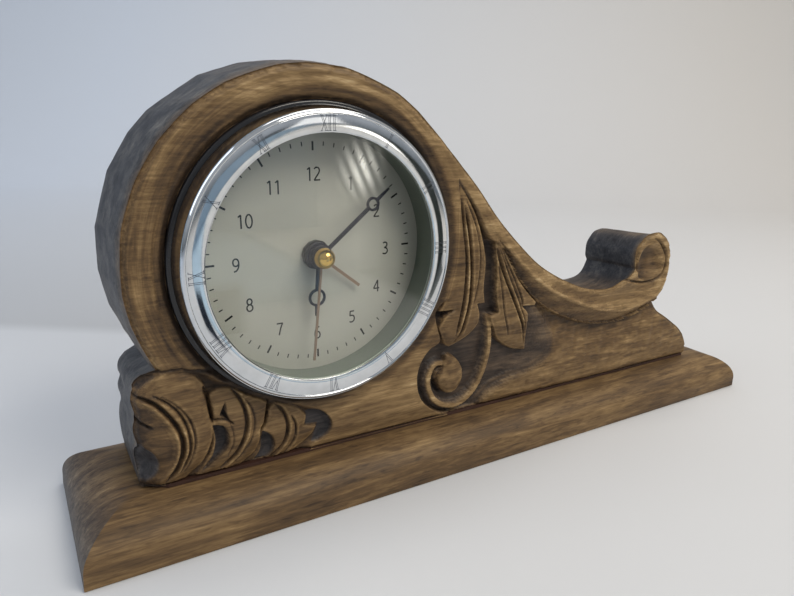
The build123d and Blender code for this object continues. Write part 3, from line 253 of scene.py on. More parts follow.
ground = curve([(-24, 107), (-18.5, 100.5), (-14.5, 95.2), (-11.2, 89.8), (-7.6, 84.8), (-4.5, 83),
    (0.5, 79.5), (5, 73), (8.5, 68.5), (12, 64.8), (18, 59.5), (25.5, 54), (35.5, 49), (45.5, 45.2),
    (55.5, 42.8), (66, 42), (74.5, 42.6), (82, 44), (89, 46.5), (95.5, 50.2), (140, 50), (140, 10),
    (-21, 10), (-21, 17.5), (-26, 19), (-32, 23.3), (-35.6, 29), (-36.6, 35.5), (-35.2, 41), (-32, 45.4),
    (-27.8, 48), (-29.5, 54), (-30.3, 58.6), (-27.6, 62.5), (-24, 64.5), (-21, 71), (-19.5, 78), (-20, 86),
    (-22.3, 97)], closed=True, sharp=(0, 19, 20, 21, 22, 23))
stem = curve([(-4.8, 54), (-3.7, 49), (-3.4, 41), (-5, 33.5), (-8.2, 26.8), (-12.8, 22.3), (-18.7, 20.4),
    (-25, 22.2), (-29.2, 26.4), (-31.2, 31.9), (-30.3, 36.3), (-27.7, 38.6), (-24.4, 38.2)])
eye_boss = curve([(-23.4, 41.7), (-18.8, 40), (-15.3, 35.2), (-15, 30), (-17.8, 26), (-22, 25.6),
    (-25.4, 28.4), (-27.9, 32.3), (-27.5, 35.3), (-24.6, 37)], closed=True, sharp=(9,))
hollow_eye = curve([(-24.4, 36.4), (-27, 33.6), (-26.6, 29.4), (-23.6, 26)])

corner_ground = curve([(-140, 10), (-140, 54), (-132, 54.4), (-124.3, 53.6), (-118, 53.6), (-112.5, 52),
    (-108, 48.5), (-104, 47), (-99, 44.5), (-94, 41), (-89, 38.6), (-84, 36), (-79, 33.5), (-74.5, 31.5),
    (-71, 27.5), (-70.4, 23.5), (-73, 20.3), (-77, 18), (-79, 10)], closed=True, sharp=(0, 1, 18))
leaf_a = curve([(-135, 48.5), (-130.5, 49), (-128.3, 50.5), (-125.4, 52.5), (-122.9, 53), (-119, 52.4),
    (-115.7, 51.4), (-113.6, 49.4), (-112, 46.7), (-111.5, 44), (-111, 39.5), (-110.4, 35.4),
    (-110.3, 31.3), (-111.3, 27.3), (-112.6, 24), (-114.5, 21.3), (-117.5, 19), (-121, 16), (-135, 16)],
    closed=True, sharp=(0, 17, 18))
leaf_b = curve([(-111, 43.3), (-109.7, 44.8), (-107.3, 45.5), (-104.5, 45), (-99.4, 41.6), (-95, 39.2),
    (-92.7, 37.6), (-93.3, 34), (-93.8, 31), (-95.2, 29), (-95.5, 25), (-97, 21.4), (-100, 19),
    (-104, 16.5), (-117, 16.5), (-113.5, 20.5), (-111, 25), (-110, 30), (-110.4, 36)], closed=True,
    sharp=(3, 6, 13, 14))
leaf_c = curve([(-92.6, 33), (-92.3, 35.2), (-90.4, 37), (-86, 35.2), (-82.2, 33.2), (-79.6, 30),
    (-80.3, 26.6), (-76, 25.2), (-77.2, 22.5), (-80, 20.3), (-83.3, 18.3), (-87, 16.5), (-99, 16.5),
    (-96, 20), (-94.5, 24.8), (-94.7, 28)], closed=True, sharp=(2, 5, 6, 7, 11, 12))
corner_veins = [
    (curve([(-126.7, 47.2), (-123.3, 44.4), (-120.4, 41), (-118.3, 36.5), (-117.3, 31.5), (-117.5, 27),
        (-119, 23), (-120.5, 20.5)]), 0.6, 1.1, 0.3, 0.15),
    (curve([(-124.5, 46.6), (-120.7, 43), (-117.6, 38.4), (-116.1, 33.8), (-115.9, 29.5), (-116.8, 25.5),
        (-118.2, 22), (-119.3, 20.6)]), 0.5, 0.8, 0.1, 0.0),
    (curve([(-132.5, 47.6), (-127.3, 45.1), (-123.8, 41.2), (-121.1, 36.7), (-119.6, 32.4), (-119.4, 28.8),
            (-120.1, 25.2), (-121.6, 21.8), (-124.5, 18.2)]), 0.95, 2.0, 0.25, 0.35),
    (curve([(-104.2, 44.6), (-102.2, 41.8), (-100.6, 37.9), (-99.9, 33.6), (-100.3, 29.5), (-101.7, 25.4),
            (-104, 21.8), (-108.2, 18.4)]), 0.8, 1.6, 0.45, 0.0),
    (curve([(-101, 41.6), (-98.3, 37.4), (-97.3, 32.5), (-98, 27.5), (-100.2, 23.2),
        (-103.6, 19.6)]), 0.45, 0.6, 0.0, 0.0),
    (curve([(-90.5, 36.6), (-88.5, 34.6), (-86.9, 31.2), (-86.3, 27), (-87.1, 22.8), (-89.6, 19.4),
        (-93, 17.2)]), 0.75, 1.4, 0.35, 0.0),
    (curve([(-85, 31.4), (-83.7, 28.4), (-83.4, 25), (-84.4, 21.2), (-87, 17.8)]), 0.5, 1.0, 0.25, 0.0),
    (curve([(-112.6, 47), (-111.6, 43.6), (-110.9, 39.5), (-110.3, 35)]), 0.75, 2.6, 0.0, 0.0),
    (curve([(-92.6, 38.2), (-93, 35.2), (-93.7, 31), (-95, 28.6)]), 0.6, 2.4, 0.0, 0.0),
    (curve([(-133, 43.5), (-131.2, 39.4), (-127.4, 36.6)]), 0.7, 1.4, 0.2, 0.0),
    (curve([(-105.2, 33.6), (-104.2, 30), (-104.3, 26), (-106, 22.4)]), 0.4, 0.4, 0.0, 0.0),
    (curve([(-110.2, 35.5), (-107, 35.3), (-104.1, 33.2)]), 0.5, 1.0, 0.0, 0.2),
]
tear_b = curve([(-110.3, 33.8), (-107.2, 33.2), (-105.6, 30.2), (-105.5, 26.5), (-107.1, 23.6),
    (-110, 21.2), (-115, 18), (-111.4, 22), (-110, 26), (-109.7, 30)], closed=True, sharp=(0, 6))
tear_c = curve([(-94.7, 28.2), (-92, 26.3), (-90.6, 23.2), (-90.8, 20), (-93.2, 17.8), (-98.5, 16.8),
    (-95.6, 20.5), (-94.8, 24.8)], closed=True, sharp=(0, 5))
tear_eye = curve([(-106.4, 41.4), (-108.2, 36.9), (-106.8, 35.6), (-104.1, 33.4), (-105.4, 35.2),
    (-106, 37.5)], closed=True, sharp=(0, 3))
trail = curve([(-79.3, 31.6), (-74.8, 31.2), (-71, 27.4), (-70.6, 23.4), (-73.2, 20.5), (-77.5, 19.6),
    (-76.3, 22.6), (-75.2, 25.6), (-79.8, 26.2)], closed=True, sharp=(7, 8))
corner_hole = curve([(-136, 32), (-131.9, 31.8), (-129.8, 30.7), (-127.8, 29), (-126.5, 26.5), (-126.2, 24),
                     (-127, 21.5), (-129, 19.6), (-132, 18.6), (-136, 18.4)], closed=True)

left_front = [(-131.2, 17), (-131.4, 21), (-132, 27), (-131.2, 30.6), (-132.2, 36), (-131.4, 40.6),
    (-132.2, 45.6), (-131, 50), (-128.5, 53.4)]
left_back = [(-131.2, 17), (-131.9, 21.6), (-132.2, 27.2), (-131.8, 31.6), (-131.2, 34.2), (-131.8, 38.8),
             (-130.9, 42.3), (-131.4, 45), (-130.6, 47.8), (-128.4, 50.4)]
foot_front = [(95.6, 50.4), (97.4, 48.6), (99.6, 45), (103, 41.4), (108, 38.4), (113, 35.2), (118, 31.8),
    (122.4, 27.6), (125.2, 22.6), (125.8, 18.8), (125.4, 17)]
foot_back = [(95.6, 50.6), (97.6, 48.6), (100, 45), (103.6, 41.6), (108.6, 38.8), (113.8, 35.8),
    (119, 32.2), (123.4, 28), (126.2, 22.8), (126.8, 18.8), (126.4, 17)]
valley_back = [(39, 61.2), (45, 58.6), (50, 56.8), (55, 55.5), (62, 54), (69.5, 53.4), (77, 54.2),
    (81.3, 56.6), (84.1, 61.9)]


def drum_arc(drum, start_angle, end_angle, chord_angle, roundness, seed, count):
    """Arc with the flats that a knife leaves: chords between uneven corners, softened by roundness."""
    cx, cz, radius = drum
    rng = np.random.default_rng(seed)
    span = abs(start_angle - end_angle)
    corners = np.linspace(start_angle, end_angle, int(span / chord_angle) + 1)
    corners[1:-1] += rng.uniform(-0.25, 0.25, len(corners) - 2) * chord_angle
    angles = np.linspace(start_angle, end_angle, count)
    out = []
    for angle in angles:
        k = int(np.clip(np.searchsorted(-corners, -angle, side="right") - 1, 0, len(corners) - 2))
        middle = (corners[k] + corners[k + 1]) / 2
        half = abs(corners[k] - corners[k + 1]) / 2
        flat = radius * math.cos(math.radians(half)) / math.cos(math.radians(angle - middle))
        r = flat * (1 - roundness) + radius * roundness
        out.append((cx + r * math.cos(math.radians(angle)), cz + r * math.sin(math.radians(angle))))
    return out


def evenly(points, count):
    """The same line with a given number of evenly spaced points."""
    points = np.array(points, float)
    steps = np.hypot(*np.diff(points, axis=0).T)
    at = np.concatenate(([0.0], np.cumsum(steps)))
    want = np.linspace(0, at[-1], count)
    return np.column_stack([np.interp(want, at, points[:, i]) for i in (0, 1)])


# How many points the stretches of the outline and the round holes have, and how many rows the side has
ARC_COUNT, SWEEP_COUNT, ROLL_COUNT, SIDE_COUNT, FOOT_COUNT, BASE_COUNT = 330, 290, 90, 64, 90, 260
SEAT_COUNT, BORE_COUNT, SIDE_ROWS = 300, 160, 15


def body_outline(back):
    """Closed outline of the body, at its front or at its back, clockwise from the lower left corner."""
    side = evenly(curve(left_back if back else left_front), SIDE_COUNT)
    if back:
        arc = drum_arc(drum_back, 212.0, 51.5, 12.5, 0.15, 11, ARC_COUNT)
        # the shoulder twists outwards at its top and falls away to a lower valley at the back
        upper = sweep_top[sweep_top[:, 0] < 34]
        share = np.linspace(0, 1, len(upper))
        upper = upper - normals(upper) * mix(1.9, -1.6, smooth_step(0.0, 0.95, share))[:, None]
        upper += (np.array(arc[-1]) - upper[0]) * (1 - smooth_step(0.0, 0.2, share))[:, None]
        sweep = evenly(np.concatenate((upper, curve(valley_back))), SWEEP_COUNT)
        centre, radius, roll_start = roll_back_centre, roll_back_radius, 215
    else:
        arc = drum_arc(drum_front, 209.5, 51.5, 12.5, 0.55, 12, ARC_COUNT)
        sweep = evenly(sweep_top, SWEEP_COUNT)
        centre, radius, roll_start = roll_centre, roll_radius, 208
    angles = np.radians(np.linspace(roll_start, -8, ROLL_COUNT))
    reach = radius * (1.0 + 0.012 * np.cos(angles * 9))
    roll = np.column_stack((centre[0] + reach * np.cos(angles), centre[1] + reach * np.sin(angles)))
    fall = curve([tuple(roll[-1]), (101, 63), (100.2, 57.7), (98.2, 53), (95.6, 50.4)])
    foot = evenly(np.concatenate((fall[1:-1], curve(foot_back if back else foot_front))), FOOT_COUNT)
    base = np.column_stack((np.linspace(foot[-1][0], side[0][0], BASE_COUNT), np.full(BASE_COUNT, body_foot)))
    side[:, 1] += body_foot - side[0][1]
    return np.concatenate((side[:-1], arc[:-1], sweep, roll[1:], foot, base[1:-1]))


front_outline = body_outline(False)
back_outline = body_outline(True)


class Carving:
    """Carved front at some points: depth behind the foremost plane, tone of the wood with painted light and
    shade in it, and the cool grey of painted shade.
    """

    def __init__(self, points):
        self.points = points
        self.x, self.z = points[:, 0], points[:, 1]
        self.rho = from_axis(points)
        self.drum_r = np.hypot(self.x - drum_front[0], self.z - drum_front[1])
        self.cove = 2.5 - 2.1 * smooth_step(seat_radius, 49.4, self.rho) ** 0.8
        self.depth = 1.3 + 0.10 * wobble(points, 9.0, 3) + 0.04 * wobble(points, 3.2, 4)
        self.tone = np.zeros(len(points))
        self.cool = np.zeros(len(points))

    def raise_to(self, depth, share):
        self.depth = np.minimum(self.depth, mix(self.depth, depth, share))

    def sink_to(self, depth, share):
        self.depth = np.maximum(self.depth, mix(self.depth, depth, share))

    def stain(self, where, tone):
        """Warm wood of a given tone, which at some places holds painted light and shade."""
        self.tone = np.where(where, tone, self.tone)
        self.cool = np.where(where, 0.0, self.cool)

    # Painted shade: darkens the wood and turns it cool grey, for holes and tears
    def blend_stain(self, tone, cool, share):
        self.tone = mix(self.tone, tone, share)
        self.cool = mix(self.cool, cool, share)

    def leaf(self, outline, level, crown, shoulder, tone, edge_width):
        """Swelling leaf with a light edge, partly wear and partly painted highlight."""
        gap = signed(self.points, outline)
        bulge = 1 - (1 - np.clip(gap / shoulder, 0, 1)) ** 2
        self.raise_to(level - crown * bulge, smooth_step(-0.4, 0.05, gap))
        self.stain(gap > -0.1, tone + 0.6 * np.exp(-(((gap - 0.35) / edge_width) ** 2)))

    def cut_vein(self, line, width, cut, left_edge=0.0, right_edge=0.0):
        """Narrow V cut along a line, darkened with painted shade, with a raised edge on either side that is
        lightened as wear and painted highlight.
        """
        gap, along, side = nearest(self.points, line, reach=width + 2.2)
        ends = smooth_step(0.0, 0.14, along) * smooth_step(1.0, 0.88, along)
        v = np.clip(1 - gap / (width * (0.35 + 0.65 * ends)), 0, 1)
        self.depth += cut * v * (0.3 + 0.7 * ends)
        # painted shade in the cut
        self.tone -= 0.95 * v
        for height, wanted in ((left_edge, side > 0), (right_edge, side < 0)):
            # raised edges lightened: wear and painted highlight
            edge = height * np.exp(-(((gap - width - 0.25) / 0.42) ** 2)) * ends * wanted
            self.depth -= edge
            self.tone += 2.0 * edge


def carve_drum(c):
    """Round face of the drum: a broad crest with two soft facets, and a cove beside the insert. Painted
    light: a highlight along the crest, shade in the cove, darker on the left and lighter at the top.
    """
    on_drum = smooth_step(66.0, 60.0, c.drum_r)
    crest = 0.35 + 0.5 * smooth_step(51.5, 49.2, c.rho) + 0.25 * np.cos((c.drum_r - 53.4) * 1.25) ** 2
    crest += 0.08 * wobble(c.points, 14.0, 5)
    c.depth = mix(c.depth, crest, on_drum * smooth_step(47.0, 50.5, c.rho))
    c.sink_to(c.cove, smooth_step(50.1, 49.2, c.rho))
    # painted highlight along the crest
    c.tone += 0.3 * np.exp(-(((c.drum_r - 53.2) / 1.6) ** 2)) * on_drum
    # painted shade in the cove beside the insert
    c.tone -= 0.85 * smooth_step(48.9, 47.5, c.rho)
    # painted light and shade by side: the left of the ring darker, its top lighter
    away = np.maximum(c.rho, 1)
    c.tone -= 0.45 * on_drum * smooth_step(0.2, 0.9, (axis_x - c.x) / away)
    c.tone += 0.33 * on_drum * smooth_step(0.4, 0.95, (c.z - axis_z) / away)


def carve_low_face(c):
    """Lower face between the corner leaves and the volute."""
    share = smooth_step(50.0, 40.0, c.z) * smooth_step(-84, -76, c.x) * smooth_step(-20, -30, c.x)
    swell = 1.0 + 0.9 * smooth_step(27.0, 17.5, c.z) ** 2
    c.depth = mix(c.depth, np.maximum(swell, np.where(c.rho < 52, c.cove, 0)), share)
    c.tone += 0.35 * share * smooth_step(49.0, 51.0, c.rho)


def carve_sweep(c):
    """Sweep: an upper facet, a crisp ridge, and a lower facet that turns under. The upper facet is painted
    lighter and the lower facet darker as light and shade, with painted highlights along the ridge and the top
    edge.
    """
    lines = (sweep_top, sweep_ridge, sweep_low)
    top_gap, ridge_gap, low_gap = (distance(c.points, line, reach=30)[0] for line in lines)
    band = smooth_step(-48.0, -20.0, c.x) * smooth_step(-34, -8, c.x) * (c.z > 40) * (c.drum_r > 50)
    upper = top_gap / np.maximum(top_gap + ridge_gap, 1e-6)
    hollow = 1.3 * np.sin(np.clip(upper, 0, 1) * math.pi) * smooth_step(5, 45, c.x)
    c.depth = mix(c.depth, 0.7 * (1 - upper) + 0.1 + hollow, band)
    # painted light on the upper facet
    c.tone += 0.4 * band
    below_ridge = inside(c.points, np.concatenate((sweep_ridge[8:-60], sweep_low[::-1])))
    turn = ridge_gap / np.maximum(ridge_gap + low_gap, 1e-6)
    c.depth = np.where(below_ridge, 0.1 + 2.6 * turn**0.85, c.depth)
    # painted shade on the lower facet as it turns under
    c.tone = np.where(below_ridge, -0.65 * turn**1.5, c.tone)
    # painted highlight along the ridge, and a light line along the top edge, partly wear and partly painted
    # highlight
    c.tone += 0.35 * np.exp(-((ridge_gap / 0.5) ** 2)) * smooth_step(-6, 12, c.x)
    c.tone += 0.2 * np.exp(-(top_gap**2)) * smooth_step(-48, -30, c.x)


def carve_ground(c):
    """Ground behind the hanging leaves, and the field under the sweep."""
    floor = mix(4.6 + 0.10 * wobble(c.points, 5.0, 8), 1.4, smooth_step(90, 106, c.z))
    field_top = np.interp(c.x, sweep_low[:, 0], sweep_low[:, 1])
    rise = np.clip((c.z - body_foot) / np.maximum(field_top - body_foot, 1.0), 0, 1)
    field = 4.6 - 3.4 * smooth_step(0.95, 0.25, rise) + 1.2 * smooth_step(0.10, 0.0, rise) ** 2
    field += 0.13 * wobble(c.points, 11.0, 9) + 0.09 * wobble(c.points, 4.0, 10)
    gap, _, side = nearest(c.points, scoop_edge, reach=16)
    past_scoop = np.where((c.x > 33) | (c.z < 17.8), 16.0, np.where(side > 0, gap, -gap))
    field_share = smooth_step(-1.6, 3.0, past_scoop)
    floor -= 1.3 * smooth_step(-9.0, -1.0, past_scoop) * smooth_step(4, 14, c.x)
    gap = signed(c.points, ground)
    open_right = (c.x > 96) | ((c.z < 18.5) & (c.x > 10))
    wall = np.where(open_right, 1.0, smooth_step(0.0, 0.7, gap)) * (gap > 0)
    c.depth = mix(c.depth, mix(floor, field, field_share), wall)
    # the ground stays darker than the field; the field darkens towards the sweep above with painted shade
    # under its overhang
    tone = -0.62 + (0.7 - 0.4 * smooth_step(0.6, 0.98, rise)) * field_share
    # light streaks on the field: partly wear and partly painted highlight
    streaks = wobble(np.column_stack((c.x * 0.35, c.z * 1.5)), 4.0, 14)
    tone += 0.55 * smooth_step(0.25, 1.0, streaks) * field_share * (rise > 0.25)
    c.tone = mix(c.tone, tone, wall)
    # the ground takes the cool grey of painted shade
    c.cool = 0.35 * wall * (1 - field_share)


def carve_hanging_leaves(c):
    level = 0.08 * wobble(c.points, 3.0, 16) + 1.1 * smooth_step(50.0, 41.0, c.z)
    tone = -0.08 - 0.25 * smooth_step(56.0, 44.0, c.z)
    for outline, base in ((long_leaf, 1.2), (short_leaf, 1.3)):
        c.leaf(outline, base + level, 0.85, 3.4, tone, 0.35)
    for vein in leaf_veins:
        c.cut_vein(*vein)


def carve_volute(c):
    """Eye and stem of the small volute."""
    gap = signed(c.points, eye_boss)
    dome = 3.0 - 2.1 * np.sqrt(np.clip(1 - (1 - np.clip(gap / 6.0, 0, 1)) ** 2, 0, 1))
    c.raise_to(dome + 0.12 * wobble(c.points, 3.4, 21), smooth_step(0.0, 0.4, gap))
    c.stain(gap > 0, 0.15 + 0.25 * wobble(c.points, 4.0, 22))
    gap, at = distance(c.points, stem, reach=6)
    top = np.interp(at, (0, 0.08, 0.5, 0.9, 1), (2.4, 1.6, 1.3, 1.6, 2.6))
    half = np.interp(at, (0, 0.45, 0.75, 0.9, 1), (0.3, 0.38, 0.6, 0.7, 0.4))
    stem_depth = top + np.where(gap < half, 0.15 * gap, 0.15 * half + 3.2 * (gap - half))
    c.raise_to(stem_depth, gap < half + 1.4)
    c.stain(gap < half + 0.1, 0.55 * smooth_step(0.0, 0.06, at))
    c.cut_vein(hollow_eye, 0.8, 1.5)


def carve_corner(c):
    """Corner leaves on a sunk ground, with cut tears between them."""
    gap = signed(c.points, corner_ground)
    wall = smooth_step(0.0, 1.6, gap)
    c.sink_to(2.4 + 1.1 * smooth_step(0.5, 4.0, gap), wall)
    c.tone = mix(c.tone, -0.5, wall)
    level = 0.12 * wobble(c.points, 5.0, 31) + 1.3 * smooth_step(30.0, 18.0, c.z)
    for outline, base, crown in ((leaf_c, 1.9, 0.9), (leaf_b, 1.7, 0.95), (leaf_a, 1.5, 1.0)):
        c.leaf(outline, base + level, crown, 4.6, -0.12, 0.4)
    gap, _, side = nearest(c.points, corner_veins[2][0], reach=12)
    lobe = (side < 0) * (c.x < -118) * smooth_step(0.2, 3.5, gap) * smooth_step(50, 46, c.z)
    # the cheek beside leaf A is sunk and painted darker, painted shade in its hollow; the leaves left of x
    # -110 are darker overall
    c.depth += 0.7 * lobe
    c.tone -= 0.4 * lobe + 0.22 * (c.x < -110) * (c.z < 53)
    # tears and the trail are sunk, with painted shade in them
    for outline, hole in ((tear_b, 4.4), (tear_c, 4.2), (tear_eye, 3.9), (trail, 3.0)):
        gap = signed(c.points, outline)
        share = smooth_step(-0.05, 0.4, gap)
        c.sink_to(hole + 0.5 * smooth_step(0.4, 2.2, gap), share)
        c.blend_stain(-0.5, 0.75, share)
    for vein in corner_veins:
        c.cut_vein(*vein)
    # the corner hole is sunk, with painted shade in it
    gap = signed(c.points, corner_hole)
    c.depth += 1.2 * smooth_step(-0.15, 0.5, gap) + 3.6 * smooth_step(0.2, 4.6, gap)
    c.blend_stain(-0.4, 0.85, smooth_step(-0.1, 0.4, gap))
    # the corner rounds back at the left and darkens with painted shade
    rounding = np.clip((-124.5 - c.x) / 8.5, 0, 1) * smooth_step(56, 52, c.z)
    c.depth += 3.8 * rounding**2
    c.tone -= 0.25 * rounding
    # a groove under the ring, darkened with painted shade
    under_ring = np.exp(-(((c.z - 53.9 + 0.25 * (c.x + 120) * (c.x > -118)) / 0.5) ** 2))
    under_ring *= smooth_step(-131, -127, c.x) * smooth_step(-104, -110, c.x)
    c.depth += 1.1 * under_ring
    c.tone -= 1.1 * under_ring


def carve_roll(c):
    """Front of the roll: a scooped face inside a rim."""
    gap = signed(c.points, face_outline)
    scoop = 0.9 + 2.0 * smooth_step(0.0, 6.0, gap) + 1.6 * smooth_step(88, 80, c.x)
    c.depth = mix(c.depth, scoop, smooth_step(-0.2, 0.6, gap))
    # the face is painted darker towards its deep left side: painted shade in the scoop
    c.stain(gap > 0, 0.2 - 0.9 * smooth_step(90, 81, c.x))
    c.cut_vein(rim_line, 0.75, 1.5)


def finish_front(c):
    """Painted shade beside the bezel on the right, a rounded front edge lightened as wear and painted
    highlight, and the flat seat of the insert.
    """
    rightward = (c.x - axis_x) / np.maximum(c.rho, 1)
    # painted shade between the bezel and the leaves on the right
    c.tone -= 1.1 * smooth_step(53.0, 50.0, c.rho) * smooth_step(0.3, 0.75, rightward)
    gap, _ = distance(c.points, front_outline, closed=True, reach=3)
    share = np.clip(1 - gap / edge_radius, 0, 1)
    eased = edge_radius * (1 - np.sqrt(np.clip(1 - share**2, 0, 1)))
    c.depth += eased * np.where(c.z < body_foot + 0.4, 0.4, 1.0)
    # the rounded edge is lighter: wear and painted highlight
    c.tone += 0.3 * share * (c.z > body_foot + 2)
    c.depth = np.clip(np.where(c.rho <= seat_radius + 0.05, seat_floor, c.depth), 0.0, 9.0)


def carve(points):
    carving = Carving(points)
    for step in (carve_drum, carve_low_face, carve_sweep, carve_ground, carve_hanging_leaves, carve_volute,
                 carve_corner, carve_roll, finish_front):
        step(carving)
    return carving


# Triangles of the front
def beside(line, amount, closed=False):
    """The same line moved sideways."""
    return line + amount * normals(line, closed)


def thin_out(points, cell):
    """One point in each cell of a square grid."""
    _, first = np.unique(np.floor(points / cell).astype(int), axis=0, return_index=True)
    return points[np.sort(first)]


def uncrowded(points, others, cell):
    """The points that share no cell of a square grid with others."""
    taken = {(int(p[0] // cell), int(p[1] // cell)) for p in others}
    return points[[(int(p[0] // cell), int(p[1] // cell)) not in taken for p in points]]


def usable(points):
    """True for the points that lie well within the front."""
    gap, _ = distance(points, front_outline, closed=True, reach=0.5)
    return inside(points, front_outline) & (from_axis(points) > seat_radius + 0.4) & (gap > 0.25)


def loop_edges(start, count):
    return [(start + i, start + (i + 1) % count) for i in range(count)]


def fill(points, edges, outline, hole_radius):
    """Triangles through the points and edges, between an outline and a round hole."""
    result = delaunay_2d_cdt([Vector(p) for p in points.tolist()], edges, [], 0, 1e-5)
    points = np.array([tuple(v) for v in result[0]])
    faces = np.array(result[2])
    centres = points[faces].mean(1)
    shown = (from_axis(centres) > hole_radius) & inside(centres, outline)
    return points, [tuple(face) for face in faces[shown].tolist()]


def grid_points():
    """Slightly uneven grid over the front, finer in the leaves."""
    low, high = front_outline.min(0), front_outline.max(0)
    rng = np.random.default_rng(1)
    layers = []
    for grid, fine in ((0.78, False), (0.46, True)):
        rows = np.arange(low[1], high[1], grid * 0.866)
        gx, gz = np.meshgrid(np.arange(low[0], high[0], grid), rows)
        gx = gx + (np.arange(len(rows)) % 2)[:, None] * grid / 2
        layer = np.column_stack((gx.ravel(), gz.ravel()))
        layer += rng.uniform(-0.1, 0.1, layer.shape) * grid
        in_leaves = inside(layer, corner_ground) | (inside(layer, ground) & (layer[:, 0] < 32))
        layers.append(layer[in_leaves == fine])
    points = np.concatenate(layers)
    return points[from_axis(points) > seat_radius + 0.45]


def carved_lines():
    """Creases, which are kept as edges of the mesh, and other lines, which only add points."""
    creases, lines = [], []
    for line in (sweep_ridge, sweep_low):
        creases += [beside(line, amount) for amount in (-0.5, 0.0, 0.5)]
        lines += [beside(line, amount) for amount in (-1.1, 1.1)]
    creases += [beside(stem, amount) for amount in (-0.4, 0.4)]
    lines += [beside(stem, amount) for amount in (-1.3, -0.8, 0.8, 1.3)] + [scoop_edge]
    for outline in (long_leaf, short_leaf, leaf_a, leaf_b, leaf_c, tear_b, tear_c, tear_eye, trail):
        creases.append(np.concatenate((outline, outline[:1])))
        lines += [beside(outline, amount, True) for amount in (-0.42, 0.42)]
    for outline in (eye_boss, ground, corner_ground, corner_hole, face_outline):
        lines += [beside(outline, amount, True) for amount in (-0.5, -0.05, 0.4)]
    for line, width, *_ in leaf_veins + corner_veins + [(rim_line, 0.75)]:
        creases.append(line)
        lines += [beside(line, amount) for amount in (-width, width, -width - 0.4, width + 0.4)]
    return creases, lines


def front_mesh():
    creases, lines = carved_lines()
    crease_points, crease_edges = [], []
    for line in creases:
        kept = usable(line)
        for i, spot in enumerate(line):
            if kept[i]:
                if i and kept[i - 1]:
                    crease_edges.append((len(crease_points) - 1, len(crease_points)))
                crease_points.append(spot)
    crease_points = np.array(crease_points)
    extra = np.concatenate(lines)
    extra = uncrowded(thin_out(extra[usable(extra)], 0.25), crease_points, 0.25)
    points = grid_points()
    points = uncrowded(points[usable(points)], np.concatenate((extra, crease_points)), 0.34)
    hole = circle(seat_radius, SEAT_COUNT)
    start = len(front_outline) + SEAT_COUNT
    edges = loop_edges(0, len(front_outline)) + loop_edges(len(front_outline), SEAT_COUNT)
    edges += [(start + a, start + b) for a, b in crease_edges]
    points = np.concatenate((front_outline, hole, crease_points, extra, points))
    return fill(points, edges, front_outline, seat_radius - 0.2)


def blur(image, spread):
    """Gaussian blur along both axes, with the spread in cells."""
    size = int(spread * 3)
    kernel = np.exp(-0.5 * (np.arange(-size, size + 1) / spread) ** 2)
    kernel /= kernel.sum()
    for axis in (0, 1):
        image = np.apply_along_axis(lambda row: np.convolve(row, kernel, mode="same"), axis, image)
    return image


def convexity(points):
    """How far the surface stands out of its surroundings: ridges above 0, hollows below 0."""
    cell = 0.5
    low, high = front_outline.min(0) - 6, front_outline.max(0) + 6
    gx, gz = np.meshgrid(np.arange(low[0], high[0], cell), np.arange(low[1], high[1], cell), indexing="ij")
    raster = np.column_stack((gx.ravel(), gz.ravel()))
    depth = np.where(from_axis(raster) < seat_radius, 1.5, carve(raster).depth)
    depth = np.where(inside(raster, front_outline), depth, 3.0).reshape(gx.shape)
    value = 1.0 * (blur(depth, 1.4 / cell) - depth) + 0.7 * (blur(depth, 4.5 / cell) - depth)
    ix = np.clip((points[:, 0] - low[0]) / cell, 0, gx.shape[0] - 2)
    iz = np.clip((points[:, 1] - low[1]) / cell, 0, gx.shape[1] - 2)
    i, k = ix.astype(int), iz.astype(int)
    near = mix(value[i, k], value[i + 1, k], ix - i)
    far = mix(value[i, k + 1], value[i + 1, k + 1], ix - i)
    return mix(near, far, iz - k)


